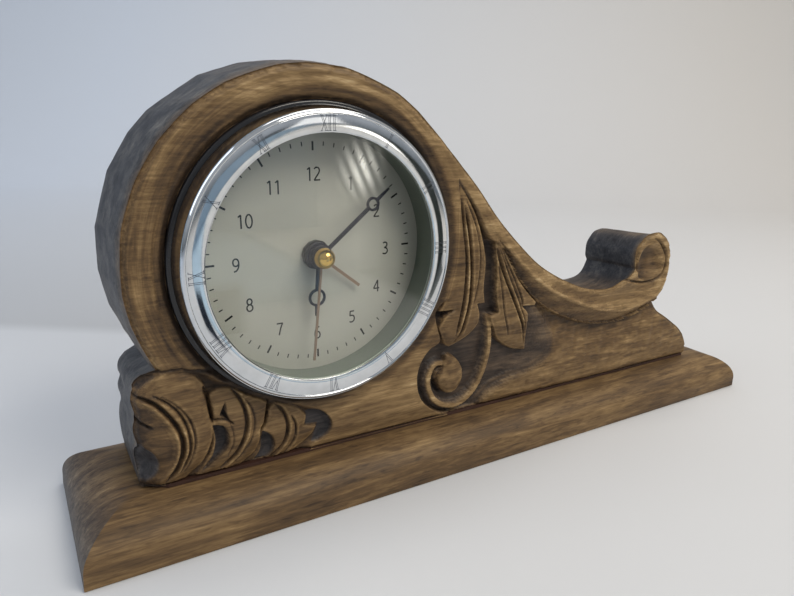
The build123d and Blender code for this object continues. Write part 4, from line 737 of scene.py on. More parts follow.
# Materials
class Nodes:
    """Short ways to build the shader of a material or of the world."""

    def __init__(self, owner, main="Principled BSDF"):
        owner.use_nodes = True
        self.owner = owner
        self.tree = owner.node_tree
        self.main = self.tree.nodes[main]

    def set(self, node, inputs):
        """Link each input to a socket, or give it a value."""
        for key, value in inputs.items():
            if isinstance(value, bpy.types.NodeSocket):
                self.tree.links.new(value, node.inputs[key])
            else:
                node.inputs[key].default_value = value

    def surface(self, inputs):
        self.set(self.main, inputs)
        return self.owner

    def add(self, kind, inputs, **settings):
        node = self.tree.nodes.new("ShaderNode" + kind)
        for key, value in settings.items():
            setattr(node, key, value)
        self.set(node, inputs)
        return node

    def place(self):
        return self.add("TexCoord", {}).outputs["Object"]

    def parts(self, vector):
        return self.add("SeparateXYZ", {"Vector": vector}).outputs

    def attribute(self, name):
        return self.add("Attribute", {}, attribute_name=name).outputs["Fac"]

    def maths(self, operation, *values, clamp=False):
        return self.add("Math", dict(enumerate(values)), operation=operation, use_clamp=clamp).outputs[0]

    def times(self, a, b, more=0.0):
        return self.maths("MULTIPLY_ADD", a, b, more)

    def total(self, first, *others):
        for value in others:
            first = self.maths("ADD", first, value)
        return first

    def share(self, value, start, end):
        """0 where the value is at start, 1 where it is at end."""
        return self.add("MapRange", {"Value": value, "From Min": start, "From Max": end}).outputs[0]

    def noise(self, vector, scale, detail, roughness=0.5, distortion=0.0):
        """Noise between 0 and 1. Three scales stretch it along X, Y and Z."""
        if isinstance(scale, tuple):
            vector = self.add("Mapping", {"Vector": vector, "Scale": scale}).outputs["Vector"]
            scale = 1.0
        settings = {"Vector": vector, "Scale": scale, "Detail": detail, "Roughness": roughness}
        return self.add("TexNoise", {**settings, "Distortion": distortion}).outputs["Fac"]

    def ramp(self, factor, stops):
        node = self.add("ValToRGB", {"Fac": factor})
        elements = node.color_ramp.elements
        while len(elements) < len(stops):
            elements.new(0.5)
        for element, (at, colour) in zip(elements, stops):
            element.position = at
            element.color = (*colour, 1.0)
        return node.outputs["Color"]

    def bump(self, strength, height_mm, height):
        settings = {"Strength": strength, "Distance": height_mm * MM, "Height": height}
        return self.add("Bump", settings).outputs["Normal"]


def new_nodes(name):
    return Nodes(bpy.data.materials.new(name))


warm_stain = [
    (0.0, (0.028, 0.018, 0.012)), (0.25, (0.062, 0.038, 0.021)), (0.5, (0.138, 0.083, 0.038)),
    (0.7, (0.235, 0.148, 0.066)), (0.88, (0.38, 0.252, 0.12)), (1.0, (0.54, 0.39, 0.21)),
]
# Cool grey of painted shade, mixed in where the wood turns away from the light or lies in a hollow
shade_grey = [
    (0.0, (0.016, 0.017, 0.021)), (0.35, (0.05, 0.051, 0.057)), (0.6, (0.105, 0.102, 0.10)),
    (1.0, (0.27, 0.25, 0.22)),
]


def turning_marks(n, place):
    """Noise that runs round the drum's axis."""
    parts = n.parts(place)
    right = n.total(parts["X"], -axis_x * MM)
    above = n.total(parts["Z"], -axis_z * MM)
    reach = n.maths("SQRT", n.times(right, right, n.times(above, above)))
    turn = n.times(n.maths("ARCTAN2", right, above), 0.057)
    polar = n.add("CombineXYZ", {"X": turn, "Y": reach, "Z": parts["Y"]}).outputs[0]
    return n.noise(polar, (38.0, 480.0, 200.0), 4.0, 0.65, 0.3)


def wood(name, carved):
    """Stained hardwood: mottled grain along X; on the carving the tone lightens ridges as wear and painted
    highlight and darkens hollows as painted shade; a cool grey of painted shade.
    """
    n = new_nodes(name)
    place = n.place()

    def centred(value, amount):
        return n.times(value, amount, -0.5 * amount)

    streaks = n.noise(place, (24.0, 260.0, 260.0), 6.0, 0.65, 0.4)
    fibres = n.noise(place, (90.0, 1100.0, 1100.0), 3.0, 0.7)
    blotches = n.noise(place, (38.0, 80.0, 80.0), 4.0, 0.6)
    flecks = n.share(n.noise(place, (130.0, 620.0, 620.0), 2.0, 0.5, 0.6), 0.55, 0.68)
    grain = centred(streaks, 1.05)
    if carved:
        turned = n.attribute("turned")
        marks = n.times(centred(turning_marks(n, place), 1.1), turned)
        grain = n.total(n.times(grain, n.times(turned, -0.75, 1.0)), marks, n.times(n.attribute("tone"), 0.3))
        cool = n.attribute("cool")
    else:
        # on the plinth the faces turned to the left take the cool grey of painted shade
        outward = n.parts(n.add("NewGeometry", {}).outputs["Normal"])
        cool = n.maths("MULTIPLY", outward["X"], -0.75, clamp=True)
    level = n.total(grain, centred(fibres, 0.6), centred(blotches, 0.42), n.times(flecks, -0.12))
    level = n.maths("ADD", level, 0.52, clamp=True)
    stains = {0: cool, 6: n.ramp(level, warm_stain), 7: n.ramp(level, shade_grey)}
    return n.surface({
        "Base Color": n.add("Mix", stains, data_type="RGBA").outputs[2],
        "Roughness": n.times(blotches, 0.25, 0.4),
        "Normal": n.bump(0.35, 0.5, n.times(fibres, 0.5, n.times(streaks, 0.6))),
        "Specular IOR Level": 0.25,
    })


def worn(name, low, high, cloud, grain, uneven, roughness, bump):
    """Slightly clouded colour between low and high, with fine unevenness in its gloss and its surface."""
    n = new_nodes(name)
    place = n.place()
    fine = n.noise(place, grain, 2.0)
    n.surface({
        "Base Color": n.ramp(n.noise(place, *cloud), [(0.3, low), (0.7, high)]),
        "Roughness": n.times(fine, uneven, roughness),
        "Normal": n.bump(*bump, fine),
    })
    return n


def metal(name, colour, roughness, scratch=0.06, bump_mm=0.01):
    darkest = [c * 0.86 for c in colour]
    n = worn(name, darkest, colour, (220.0, 4.0), 2600.0, scratch, roughness, (0.2, bump_mm))
    return n.surface({"Metallic": 1.0})


def plastic(name, colour, roughness, grain=900.0, bump_mm=0.02, spread=0.25, gloss=0.5):
    low = [c * (1 - spread) for c in colour]
    high = [min(1.0, c * (1 + spread)) for c in colour]
    n = worn(name, low, high, (90.0, 5.0), grain, 0.12, roughness, (0.3, bump_mm))
    return n.surface({"Specular IOR Level": gloss})


def dial_material():
    """Brushed silver plate."""
    n = new_nodes("dial_silver")
    place = n.place()
    brushed = n.noise(place, (420.0, 40.0, 5200.0), 4.0)
    level = n.times(brushed, 0.35, n.times(n.noise(place, 30.0, 3.0), 0.65))
    return n.surface({
        "Base Color": n.ramp(level, [(0.3, (0.385, 0.372, 0.33)), (0.7, (0.44, 0.43, 0.385))]),
        "Roughness": n.times(brushed, 0.1, 0.42),
        "Normal": n.bump(0.12, 0.01, brushed),
        "Metallic": 0.25,
    })


def glass_material():
    """Clear glass. Light passes to the dial behind without darkening it."""
    n = new_nodes("lens_glass")
    shadow = n.add("LightPath", {}).outputs["Is Shadow Ray"]
    clear = n.add("BsdfTransparent", {"Color": (0.94, 0.96, 0.95, 1.0)}).outputs[0]
    blend = n.add("MixShader", {0: shadow, 1: n.main.outputs[0], 2: clear}).outputs[0]
    n.set(n.tree.nodes["Material Output"], {"Surface": blend})
    return n.surface({
        "Roughness": n.times(n.noise(n.place(), 60.0, 4.0), 0.012),
        "Base Color": (0.97, 0.985, 0.975, 1.0),
        "Transmission Weight": 1.0,
        "IOR": 1.5,
    })


chrome = metal("bezel_chrome", (0.74, 0.76, 0.78), 0.045, scratch=0.05, bump_mm=0.002)
engraving = metal("engraved_line", (0.12, 0.13, 0.15), 0.3)
steel = metal("bright_steel", (0.6, 0.6, 0.6), 0.25)
nickel = metal("contact_nickel", (0.72, 0.71, 0.67), 0.22)
black_gloss = plastic("black_gloss", (0.012, 0.012, 0.014), 0.12, spread=0.2)
brown_paint = plastic("brown_hand_paint", (0.19, 0.12, 0.075), 0.35, spread=0.1)
ink = plastic("dial_ink", (0.008, 0.008, 0.009), 0.7, gloss=0.15)

# The CAD nodes that are shown as they are
wheels = ("intermediate_wheel second_wheel third_wheel centre_wheel cannon_pinion motion_wheel hour_wheel "
          "alarm_wheel")
knobs = "time_set_knob alarm_set_knob alarm_switch battery_door"
node_materials = (
    (plastic("housing_plastic", (0.028, 0.028, 0.03), 0.45), "insert_can"),
    (plastic("inner_wall", (0.115, 0.135, 0.11), 0.38, spread=0.07), "reflector_ring"),
    (dial_material(), "dial"),
    (glass_material(), "lens"),
    (black_gloss, "dial_nut"),
    (brown_paint, "alarm_hand"),
    (plastic("dark_hand_paint", (0.008, 0.009, 0.02), 0.4, gloss=0.15), "hour_hand minute_hand"),
    (metal("polished_brass", (0.78, 0.5, 0.12), 0.08), "hand_cap"),
    (plastic("movement_plastic", (0.045, 0.046, 0.05), 0.42), "movement_front_case movement_back_case"),
    (steel, "movement_screws plinth_screws quartz_crystal"),
    (plastic("ferrite", (0.06, 0.06, 0.065), 0.5), "rotor"),
    (plastic("wheel_plastic", (0.75, 0.72, 0.62), 0.4, spread=0.05), wheels),
    (plastic("knob_plastic", (0.075, 0.075, 0.08), 0.4), knobs),
    (metal("core_iron", (0.45, 0.46, 0.48), 0.4), "stator coil_core"),
    (plastic("bobbin_plastic", (0.62, 0.58, 0.46), 0.45, spread=0.06), "coil_bobbin"),
    (metal("coil_copper", (0.62, 0.26, 0.1), 0.3), "coil_winding"),
    (plastic("board_laminate", (0.05, 0.22, 0.08), 0.35), "circuit_board"),
    (plastic("chip_cover", (0.015, 0.015, 0.016), 0.3), "timing_chip"),
    (plastic("buzzer_case", (0.03, 0.03, 0.03), 0.4), "buzzer"),
    (nickel, "alarm_contact_spring battery_plus_contact battery_minus_contact"),
    (plastic("battery_jacket", (0.06, 0.1, 0.2), 0.25, spread=0.08), "battery"),
)
for material, nodes in node_materials:
    for node in nodes.split():
        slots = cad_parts[node].data.materials
        slots.clear()
        slots.append(material)


# Meshes
def add_object(name, data):
    piece = bpy.data.objects.new(name, data)
    bpy.context.scene.collection.objects.link(piece)
    return piece


def new_mesh(name, vertices, faces, material, smooth):
    """Mesh object from points in metres."""
    mesh = bpy.data.meshes.new(name)
    mesh.from_pydata(np.asarray(vertices).tolist(), [], faces)
    mesh.validate()
    mesh.polygons.foreach_set("use_smooth", [smooth] * len(mesh.polygons))
    mesh.materials.append(material)
    return add_object(name, mesh)


def make_mesh(name, vertices, faces, material, replaced=(), body="case", smooth=True, sharp=0):
    """Mesh object from millimetre points, riding on a CAD body. Edges above the angle in sharp stay crisp."""
    piece = new_mesh(name, np.asarray(vertices) * MM, faces, material, smooth)
    if sharp:
        piece.data.set_sharp_from_angle(angle=math.radians(sharp))
    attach(piece, body)
    if replaced:
        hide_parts(*replaced)
    return piece


def band(low, high, count):
    """Faces between two rings of vertices that start at low and at high."""
    return [(low + i, high + i, high + k, low + k) for i, k in loop_edges(0, count)]


class Shell:
    """Vertices and faces of the carved body, with the values that its wood reads."""

    def __init__(self):
        self.vertices = []
        self.faces = []
        self.values = {"tone": [], "cool": [], "turned": []}
        self.count = 0

    def add(self, points, y, tone, cool=0.0, turned=0.0):
        """Add vertices at (x, z) points and give back the index of the first."""
        start, count = self.count, len(points)
        self.vertices.append(np.column_stack((points[:, 0], np.broadcast_to(y, count), points[:, 1])))
        for name, value in (("tone", tone), ("cool", cool), ("turned", turned)):
            self.values[name].append(np.broadcast_to(value, count))
        self.count += count
        return start


def add_front(shell):
    points, faces = front_mesh()
    front = carve(points)
    drum_share = smooth_step(60.0, 58.5, front.drum_r)
    turned = drum_share * smooth_step(50.0, 56.0, front.z) * smooth_step(-30.0, -42.0, front.x)
    # painted light and shade from the carving's shape: ridges lighter as wear and painted highlight, hollows
    # darker as painted shade
    tone = front.tone + 0.5 * np.clip(convexity(points), -0.9, 0.6)
    shell.add(points, body_front + front.depth, tone, front.cool, turned)
    shell.faces += faces


def side_row(t, last):
    """Points, tone and cool grey of painted shade round the side at a share t of its depth, with the marks of
    a knife.
    """
    count = len(front_outline)
    along = np.linspace(0, 1, count)
    patch = np.column_stack((along * 900, np.full(count, t * 35.0)))
    streak = np.column_stack((along * 160, np.full(count, t * 35.0)))
    line = mix(front_outline, back_outline, 0.35 * smooth_step(0.0, 0.16, t) + 0.65 * t)
    normal = normals(line, closed=True)
    above_base = np.where(line[:, 1] < body_foot + 0.2, 0.0, 1.0)
    dent = 0.11 * wobble(patch, 13.0, 41) + 0.05 * wobble(patch, 5.0, 42) - 0.12
    dent *= np.where(along < (SIDE_COUNT + ARC_COUNT) / count, 1.0, 0.5) * above_base
    valley = np.exp(-(((line[:, 0] - 52) / 24) ** 2)) * (line[:, 1] > 50)
    move = dent * (0.3 if last else 1) - 1.4 * valley * math.sin(math.pi * min(1.0, t * 1.15)) ** 0.8
    if last:
        move -= 0.25 * above_base
    line = line - normal * move[:, None]
    x, z = line.T
    tone = 0.35 * math.exp(-t * 9) - 0.3 + 0.22 * wobble(patch, 16.0, 43) + 0.3 * wobble(streak, 4.5, 44)
    # painted shade: darker in the valley behind the sweep and on the side of the roll
    tone -= 0.35 * np.exp(-(((x - 68) / 14) ** 2)) * (z > 50)
    tone -= 0.25 * ((x > 78) & (normal[:, 0] > -0.2) & (z > 61.5)) * smooth_step(0.0, 0.15, t)
    # faces turned to the left, and less so those turned up, take the cool grey of painted shade
    cool = np.clip(0.95 * normal[:, 0] - np.where(x > 10, 0.12, 0.5) * normal[:, 1] + 0.1, 0, 1)
    return line, tone, cool * smooth_step(-0.02, 0.12, t) * above_base


def add_side(shell):
    """Side from the front edge to the back edge. It gives back the back edge."""
    count = len(front_outline)
    front_edge = body_front + carve(front_outline).depth
    before = 0
    for row in range(1, SIDE_ROWS + 1):
        t = row / SIDE_ROWS
        line, tone, cool = side_row(t, row == SIDE_ROWS)
        start = shell.add(line, mix(front_edge, body_back, t), tone, cool)
        shell.faces += band(before, start, count)
        before = start
    return line


def add_back(shell, edge):
    """Back, bore and seat of the insert."""
    count = len(edge)
    bore = circle(bore_radius, BORE_COUNT)
    edges = loop_edges(0, count) + loop_edges(count, BORE_COUNT)
    points, faces = fill(np.concatenate((edge, bore)), edges, edge, bore_radius - 0.1)
    # the back takes some of the cool grey of painted shade
    start = shell.add(points, body_back, -0.1, 0.3)
    shell.faces += [tuple(start + i for i in reversed(face)) for face in faces]
    seat_y = body_front + seat_floor
    before = shell.add(bore, body_back, -0.5)
    for radius in (bore_radius, seat_radius):
        start = shell.add(circle(radius, BORE_COUNT), seat_y, -0.5)
        shell.faces += band(start, before, BORE_COUNT)
        before = start


def build_case():
    shell = Shell()
    add_front(shell)
    add_back(shell, add_side(shell))
    vertices = np.concatenate(shell.vertices)
    material = wood("carved_wood", True)
    piece = make_mesh("carved_case", vertices, shell.faces, material, ("case_body",))
    for name, values in shell.values.items():
        attribute = piece.data.attributes.new(name, "FLOAT", "POINT")
        attribute.data.foreach_set("value", np.concatenate(values).astype(np.float32))


build_case()


# Plinth: the same moulding all round, with sharp mitres and hand-eased faces
def build_plinth():
    edge, run = 4.4, 15.7
    rise = plinth_top - edge
    profile = [(0.5, 0.0), (0.12, 0.18), (0.0, 0.6), (0.0, 1.6), (0.0, 2.8), (0.0, edge)]
    for angle in np.linspace(0, math.pi / 2, 17)[1:]:
        profile.append((run * (1 - math.cos(angle)), edge + rise * math.sin(angle)))
    corners = [(-1, -1), (1, -1), (1, 1), (-1, 1), (-1, -1)]
    sides = zip(corners, corners[1:], (150, 36, 150, 36))
    perimeter = np.concatenate([np.linspace(a, b, pieces, endpoint=False) for a, b, pieces in sides])
    count, rows = len(perimeter), len(profile)
    vertices = []
    for inset, height in profile:
        row = perimeter * (plinth_half_x - inset, plinth_half_y - inset)
        vertices.append(np.column_stack((row, np.full(count, height))))
    vertices = np.concatenate(vertices)
    spots = np.column_stack((vertices[:, 0], vertices[:, 1] * 1.3 + vertices[:, 2] * 2.1))
    dent = 0.08 * wobble(spots, 24.0, 51) + 0.04 * wobble(spots, 9.0, 52)
    pull = np.maximum(dent + 0.13, 0) * np.clip(vertices[:, 2] / 3.0, 0, 1)
    for axis, half in ((0, plinth_half_x), (1, plinth_half_y)):
        at_side = np.abs(vertices[:, axis]) > half - run - 1
        vertices[:, axis] -= np.sign(vertices[:, axis]) * at_side * pull
    faces = [tuple(range((rows - 1) * count, rows * count)), tuple(reversed(range(count)))]
    for row in range(rows - 1):
        faces += band((row + 1) * count, row * count, count)
    material = wood("plinth_wood", False)
    make_mesh("moulded_plinth", vertices, faces, material, ("plinth",), sharp=20)


build_plinth()


# Sole: a thin dark strip set back between the body and the plinth
def build_sole():
    outline = [(-129.8, 15.6), (-129.8, -8.5), (-127.6, -13), (-124, -15.5), (124.6, -15.5), (124.6, 15.6)]
    count = len(outline)
    vertices = [(x, y, z) for z in (plinth_top, body_foot + 0.5) for x, y in outline]
    faces = band(count, 0, count) + [tuple(reversed(range(count))), tuple(range(count, 2 * count))]
    stain = plastic("sole_dark_brown", (0.045, 0.018, 0.011), 0.5, grain=700.0, bump_mm=0.05, spread=0.35)
    make_mesh("sole_strip", vertices, faces, stain, smooth=False)


build_sole()


def lathe(name, profile, material, replaced=(), count=256, sharp=0):
    """Ring turned about the hands' axis from (radius, y) points."""
    vertices, faces = [], []
    for row, (radius, y) in enumerate(profile):
        vertices += [(x, y, z) for x, z in circle(radius, count)]
        faces += band(row * count, (row + 1) % len(profile) * count, count)
    make_mesh(name, vertices, faces, material, replaced, sharp=sharp)


# Bezel: a smooth flared wall, a thin lip and a flat band. The black ring closes its gap to the wood.
band_inner = bezel_radius - 7.4
band_outer = bezel_radius - 2.2
band_y = bezel_front + 0.25
bezel_profile = [
    (45.3, -18.1), (45.4, -18.4), (45.05, -19.7), (44.7, -21.0), (44.3, -22.4), (44.05, -23.2),
    (43.8, -23.62), (43.5, -23.88), (43.2, bezel_front), (43.0, bezel_front + 0.04),
    (42.88, bezel_front + 0.14), (band_outer, band_y + 0.08), (band_outer - 0.2, band_y),
    (band_inner + 0.4, band_y), (band_inner + 0.1, band_y + 0.12), (band_inner, band_y + 0.4),
    (band_inner, band_y + 0.62), (44.2, band_y + 0.62), (44.2, -18.15),
]
gasket_back = body_front + seat_floor
gasket_profile = [(46.6, gasket_back), (46.65, -16.9), (46.4, -17.4), (46.0, -17.6), (44.3, -17.6),
                  (44.3, gasket_back)]
lip_profile = [(band_inner + 0.1, lip_y + 0.02), (band_inner + 1.2, lip_y + 0.02),
               (band_inner + 1.2, lip_y + 0.5), (band_inner + 0.12, lip_y + 0.5)]
lathe("chrome_bezel", bezel_profile, chrome, ("bezel",), sharp=28)
lathe("black_gasket", gasket_profile, black_gloss, ("gasket_ring",), sharp=40)


# Marks: thin solid ribbons that lie on a face
def ribbons(name, lines, y_back, y_front, material, replaced=(), body="case"):
    """Thin closed bands along lines of (x, z) points, each with a width."""
    vertices, faces = [], []
    for points, width in lines:
        points = np.array(points, float)
        loop = len(points) > 2 and np.allclose(points[0], points[-1])
        if loop:
            points = points[:-1]
        normal = normals(points, loop) * width / 2
        count, start = len(points), len(vertices)
        for y in (y_front, y_back):
            for edge in (points - normal, points + normal):
                vertices += [(x, y, z) for x, z in edge.tolist()]
        a, b, c, d = (start + n * count for n in range(4))
        for i, k in loop_edges(0, count)[: count if loop else count - 1]:
            faces += [(a + i, b + i, b + k, a + k), (c + k, d + k, d + i, c + i),
                      (b + i, d + i, d + k, b + k), (a + k, c + k, c + i, a + i)]
        if not loop:
            end = count - 1
            faces += [(a, c, d, b), (b + end, d + end, c + end, a + end)]
    make_mesh(name, vertices, faces, material, replaced, body, smooth=False)


insert_turn = -1.7


def on_dial(clock_angle, radius, sideways=0.0):
    turn = math.radians(clock_angle + insert_turn)
    return (
        axis_x + radius * math.sin(turn) + sideways * math.cos(turn),
        axis_z + radius * math.cos(turn) - sideways * math.sin(turn),
    )


ticks = []
for minute in range(60):
    inner, width = (33.4, 0.36) if minute % 5 else (32.0, 0.62)
    ticks.append(([on_dial(6 * minute, inner), on_dial(6 * minute, 34.7)], width))
print_back, print_front = dial_face + 0.01, dial_face - 0.03
ribbons("dial_ticks", ticks, print_back, print_front, ink)


# Printed numerals, drawn with strokes in a box one unit high
def oval(x, z, half_width, half_height):
    angles = np.linspace(0, 2 * math.pi, 33)
    return [(x + half_width * math.sin(a), z + half_height * math.cos(a)) for a in angles]


def flowing(*points):
    return curve(points, step=0.06)


digits = {
    "0": [oval(0.28, 0.5, 0.235, 0.48)],
    "1": [[(0.10, 0.84), (0.31, 0.985)], [(0.30, 1.0), (0.30, 0.0)]],
    "2": [flowing((0.06, 0.87), (0.16, 0.96), (0.29, 0.98), (0.43, 0.91), (0.48, 0.75), (0.42, 0.56),
        (0.26, 0.34), (0.05, 0.05)), [(0.03, 0.05), (0.53, 0.05)]],
    "3": [flowing((0.07, 0.92), (0.22, 0.98), (0.38, 0.94), (0.45, 0.78), (0.37, 0.61), (0.18, 0.54)),
          flowing((0.18, 0.54), (0.38, 0.48), (0.49, 0.30), (0.42, 0.10), (0.24, 0.02), (0.04, 0.08))],
    "4": [[(0.41, 0.0), (0.41, 1.0)], [(0.41, 0.98), (0.03, 0.31)], [(0.02, 0.30), (0.57, 0.30)]],
    "5": [[(0.47, 0.95), (0.11, 0.95)], [(0.12, 0.97), (0.09, 0.54)], flowing((0.09, 0.56), (0.26, 0.60),
        (0.43, 0.51), (0.49, 0.31), (0.41, 0.10), (0.22, 0.02), (0.04, 0.07))],
    "6": [flowing((0.46, 0.96), (0.29, 0.92), (0.13, 0.72), (0.07, 0.40), (0.12, 0.13), (0.28, 0.02),
        (0.45, 0.11), (0.50, 0.31), (0.43, 0.51), (0.27, 0.57), (0.12, 0.48), (0.07, 0.34))],
    "7": [[(0.03, 0.95), (0.52, 0.95)], flowing((0.50, 0.95), (0.34, 0.58), (0.19, 0.0))],
    "8": [oval(0.28, 0.75, 0.185, 0.225), oval(0.28, 0.27, 0.225, 0.25)],
}
digits["9"] = [[(0.56 - u, 1.0 - v) for u, v in stroke] for stroke in digits["6"]]
digit_height, digit_step, digit_stroke = 4.1, 0.61, 0.46
numeral_radius, numeral_drop = 25.6, 0.65
lean = math.radians(insert_turn)
printed = []
for hour in range(1, 13):
    centre_x, centre_z = on_dial(30 * hour, numeral_radius)
    word = str(hour)
    start = -(digit_step * len(word)) / 2 + 0.025
    for place, digit in enumerate(word):
        for stroke in digits[digit]:
            across, up_by = np.array(stroke).T
            across = (start + place * digit_step + across) * digit_height
            up_by = (up_by - 0.5) * digit_height
            x = centre_x + across * math.cos(lean) + up_by * math.sin(lean)
            z = centre_z - numeral_drop - across * math.sin(lean) + up_by * math.cos(lean)
            printed.append((np.column_stack((x, z)), digit_stroke))
ribbons("dial_numerals", printed, print_back, print_front, ink)

# Second hand: one straight strip from the cap outwards
second_low, second_high = node_box("second_hand")
second_angle = 31 * 6
strip = ([on_dial(second_angle, -1.5), on_dial(second_angle, 33.8)], 0.75)
ribbons("thin_second_hand", [strip], second_high[1], second_low[1], brown_paint,
        ("second_hand",), "second")

# Roman numerals, engraved with double lines. Offsets are in millimetres, heights are shares of the letter's.
pair = 0.46
glyphs = {
    "I": [((0.0, 0), (0.0, 1)), ((pair, 0), (pair, 1)), ((-0.35, 0), (0.81, 0)), ((-0.35, 1), (0.81, 1))],
    "V": [((0.0, 1), (0.85, 0)), ((pair, 1), (1.12, 0.28)), ((1.75, 1), (0.88, 0)), ((-0.35, 1), (0.8, 1)),
          ((1.4, 1), (2.1, 1))],
    "X": [((0.0, 1), (1.45, 0)), ((pair, 1), (1.91, 0)), ((1.75, 1), (0.1, 0)), ((-0.35, 1), (0.8, 1)),
          ((1.4, 1), (2.1, 1)), ((-0.2, 0), (0.45, 0)), ((1.1, 0), (2.25, 0))],
}
advance = {"I": 1.5, "V": 2.2, "X": 2.4}
romans = ("XII", "I", "II", "III", "IIII", "V", "VI", "VII", "VIII", "IX", "X", "XI")
roman_height, roman_low, line_width = 4.2, 38.1, 0.15
engraved = []
for hour, word in enumerate(romans):
    across = -sum(advance[letter] for letter in word) / 2 + 0.3
    for letter in word:
        for ends in glyphs[letter]:
            line = [on_dial(30 * hour, roman_low + v * roman_height, across + u) for u, v in ends]
            engraved.append((line, line_width))
        across += advance[letter]
ribbons("bezel_numerals", engraved, band_y + 0.02, band_y - 0.012, engraving)

# Inner wall: a lighter lip under the glass, whose pale colour is a painted highlight of the glass edge
glass_edge_highlight = plastic("inner_lip_highlight", (0.42, 0.47, 0.42), 0.35, spread=0.05)
lathe("inner_lip", lip_profile, glass_edge_highlight, count=192)

# Camera, fitted to the photo. Sizes are in metres from here on.
camera_place = (-0.1562, -0.1907, 0.1252)
focal_pixels, photo_width, sensor_width = 629.26, 794, 36
yaw, pitch, roll = math.radians(32.2708), math.radians(15.9375), math.radians(2.1836)
ahead = Vector((math.sin(yaw), math.cos(yaw), 0))
forward = ahead * math.cos(pitch) - Vector((0, 0, math.sin(pitch)))
level_right = Vector((math.cos(yaw), -math.sin(yaw), 0))
level_up = level_right.cross(forward)
right = level_right * math.cos(roll) + level_up * math.sin(roll)
up = level_up * math.cos(roll) - level_right * math.sin(roll)
camera_data = bpy.data.cameras.new("camera")
camera_data.lens = focal_pixels / photo_width * sensor_width
camera_data.sensor_width = sensor_width
camera_data.clip_start = 0.005
camera = add_object("camera", camera_data)
camera.matrix_world = Matrix.Translation(camera_place) @ Matrix((right, up, -forward)).transposed().to_4x4()
bpy.context.scene.camera = camera
bpy.context.scene.view_settings.view_transform = "Standard"


def stage_mesh(name, vertices, faces, material, smooth=False):
    new_mesh(name, vertices, faces, material, smooth)


# Table and wall: one sheet that curves up behind the clock, square to the camera
def sheet_material():
    n = new_nodes("pale_sheet")
    place = n.place()
    parts = n.parts(place)
    sideways = n.times(parts["X"], level_right.x, n.times(parts["Y"], level_right.y))
    far = n.times(parts["X"], ahead.x, n.times(parts["Y"], ahead.y))
    # painted light: the sheet is bluer on the left and warmer on the right
    across = n.total(n.times(sideways, 0.75, 0.45), n.times(n.noise(place, 3.0, 2.0), 0.06))
    tint = n.ramp(across, [(0.0, (0.66, 0.71, 0.79)), (0.5, (0.67, 0.672, 0.68)), (1.0, (0.69, 0.66, 0.62))])
    # on the left the sheet turns up early: a soft shade that starts at the turn and fades with the distance
    left_share = n.share(n.maths("DIVIDE", sideways, n.total(far, 0.245)), -0.12, -0.5)
    steps = ((0.0, 0.0), (0.094, 0.12), (0.108, 0.31), (0.3, 0.2), (0.8, 0.0))
    shade = n.ramp(far, [(at, (grey, grey, grey)) for at, grey in steps])
    kept = n.maths("SUBTRACT", 1.0, n.times(left_share, shade))
    shaded = n.add("VectorMath", {0: tint, 1: kept}, operation="MULTIPLY").outputs[0]
    return n.surface({"Base Color": shaded, "Roughness": 0.7})


def build_sheet():
    table_end, cove_radius, wall_height, half_width = 0.75, 0.5, 2.6, 3.0
    profile = [(-3.0, 0.0), (-1.0, 0.0), (0.0, 0.0), (table_end, 0.0)]
    for angle in np.linspace(0, math.pi / 2, 25)[1:]:
        profile.append((table_end + cove_radius * math.sin(angle), cove_radius * (1 - math.cos(angle))))
    profile.append((table_end + cove_radius, wall_height))
    points = []
    for far, height in profile:
        for sideways in (-half_width, half_width):
            points.append(ahead * far + level_right * sideways + Vector((0, 0, height)))
    faces = [(i, i + 1, i + 3, i + 2) for i in range(0, len(points) - 2, 2)]
    stage_mesh("floor", points, faces, sheet_material(), smooth=True)


build_sheet()


# Cards in front of the clock that show only as reflections in the chrome and the glass
def stage_card(name, centre, size, material, flat=False):
    wide, tall = size[0] / 2, size[1] / 2
    up_card = (0, 1, 0) if flat else (0, 0, 1)
    corners = []
    for u, v in ((-wide, -tall), (wide, -tall), (wide, tall), (-wide, tall)):
        corners.append(Vector(centre) + u * Vector((1, 0, 0)) + v * Vector(up_card))
    stage_mesh(name, corners, [(0, 3, 2, 1)], material)


def card(name, centre, size, colour, strength=0.0, flat=False):
    """Plain card with a soft edge, so that no straight border shows in the glass."""
    n = new_nodes(name)
    parts = n.parts(n.place())
    solid = 1.0
    for axis, half in zip("XY" if flat else "XZ", size):
        off = n.maths("ABSOLUTE", n.total(parts[axis], -centre["XYZ".index(axis)]))
        solid = n.times(n.share(off, half / 2, half / 2 * 0.7), solid)
    paint = (*colour, 1.0)
    material = n.surface({"Base Color": paint, "Roughness": 0.8, "Alpha": solid})
    if strength:
        n.surface({"Emission Color": paint, "Emission Strength": strength})
    stage_card(name, centre, size, material, flat)


card("dark_card_right", (0.172, -0.30, 0.05), (0.17, 0.16), (0.05, 0.06, 0.052))
card("grey_card", (0.10, -0.62, 0.14), (0.06, 0.12), (0.16, 0.17, 0.18))
card("blue_card", (0.035, -0.52, 0.06), (0.26, 0.17), (0.40, 0.51, 0.61))
card("white_card", (0.19, -0.62, 0.20), (0.11, 0.20), (0.95, 0.93, 0.9), 0.7)
card("dark_card_left", (-0.066, -0.20, 0.009), (0.052, 0.048), (0.02, 0.03, 0.05))
card("dark_floor_card", (0.145, -0.25, 0.0006), (0.12, 0.13), (0.12, 0.13, 0.125), flat=True)
card("blue_floor_card", (-0.012, -0.42, 0.0006), (0.16, 0.38), (0.44, 0.58, 0.70), flat=True)


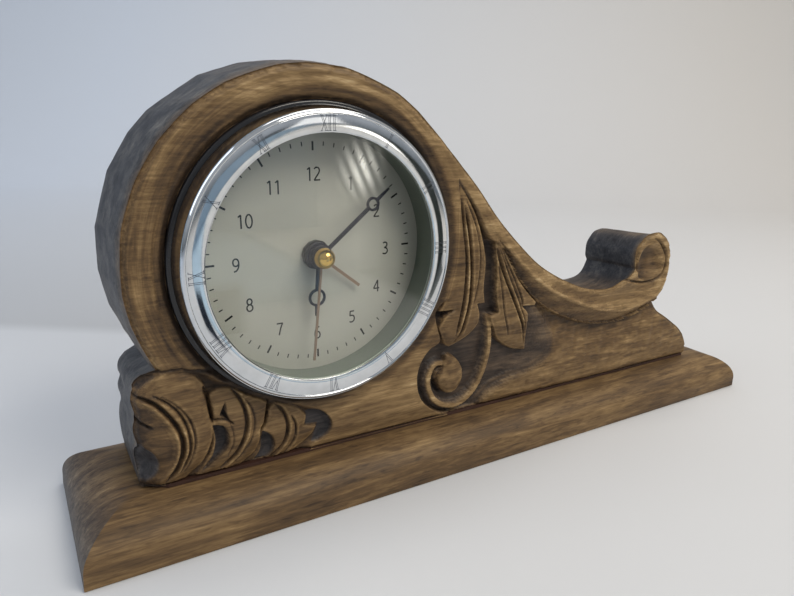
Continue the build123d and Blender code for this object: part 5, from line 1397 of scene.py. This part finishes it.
def blinds():
    """Daylight through blinds, mirrored in the glass."""
    middle, stripe_width = (0.124, -0.36, 0.08), 0.0115
    n = new_nodes("blinds")
    place = n.place()
    parts = n.parts(place)
    slant = n.times(parts["Z"], 0.5, parts["X"])
    stripe = n.times(n.maths("SINE", n.times(slant, 2 * math.pi / stripe_width)), 0.38, 0.5)
    centred = n.add("VectorMath", {0: place, 1: middle}, operation="SUBTRACT").outputs[0]
    far = n.add("VectorMath", {0: centred}, operation="LENGTH").outputs["Value"]
    fade = n.share(far, 0.038, 0.006)
    material = n.surface({
        "Emission Strength": n.times(n.maths("MULTIPLY", stripe, fade, clamp=True), 11.0),
        "Emission Color": (1.0, 0.96, 0.86, 1.0),
        "Base Color": (0.6, 0.6, 0.58, 1.0),
        "Alpha": fade,
    })
    stage_card("blinds_card", middle, (0.08, 0.08), material)


blinds()


# Lamps and sky
def area_light(name, place, target, size, power, colour):
    light = bpy.data.lights.new(name, "AREA")
    light.shape = "RECTANGLE"
    light.size, light.size_y = size
    light.energy = power
    light.color = colour
    lamp = add_object(name, light)
    lamp.location = place
    lamp.rotation_euler = (Vector(target) - Vector(place)).to_track_quat("-Z", "Y").to_euler()


area_light("key", (0.35, -0.75, 0.95), (0, 0, 0.06), (0.7, 0.5), 8.5, (1.0, 0.94, 0.84))
area_light("window", (-0.9, 0.1, 0.75), (-0.05, 0, 0.06), (0.6, 0.8), 2.6, (0.80, 0.88, 1.0))
area_light("wall_wash", (0.45, 0.35, 1.8), (0.62, 1.05, 0.9), (1.6, 0.6), 10, (1.0, 0.98, 0.96))

world = bpy.data.worlds.new("studio")
bpy.context.scene.world = world
n = Nodes(world, "Background")
height = n.times(n.parts(n.add("TexCoord", {}).outputs["Generated"])["Z"], 0.5, 0.5)
sky = [(0.0, (0.10, 0.12, 0.14)), (0.5, (0.36, 0.40, 0.44)), (0.62, (0.87, 0.92, 0.99)),
       (1.0, (0.80, 0.83, 0.87))]
n.surface({"Color": n.ramp(height, sky), "Strength": 0.45})
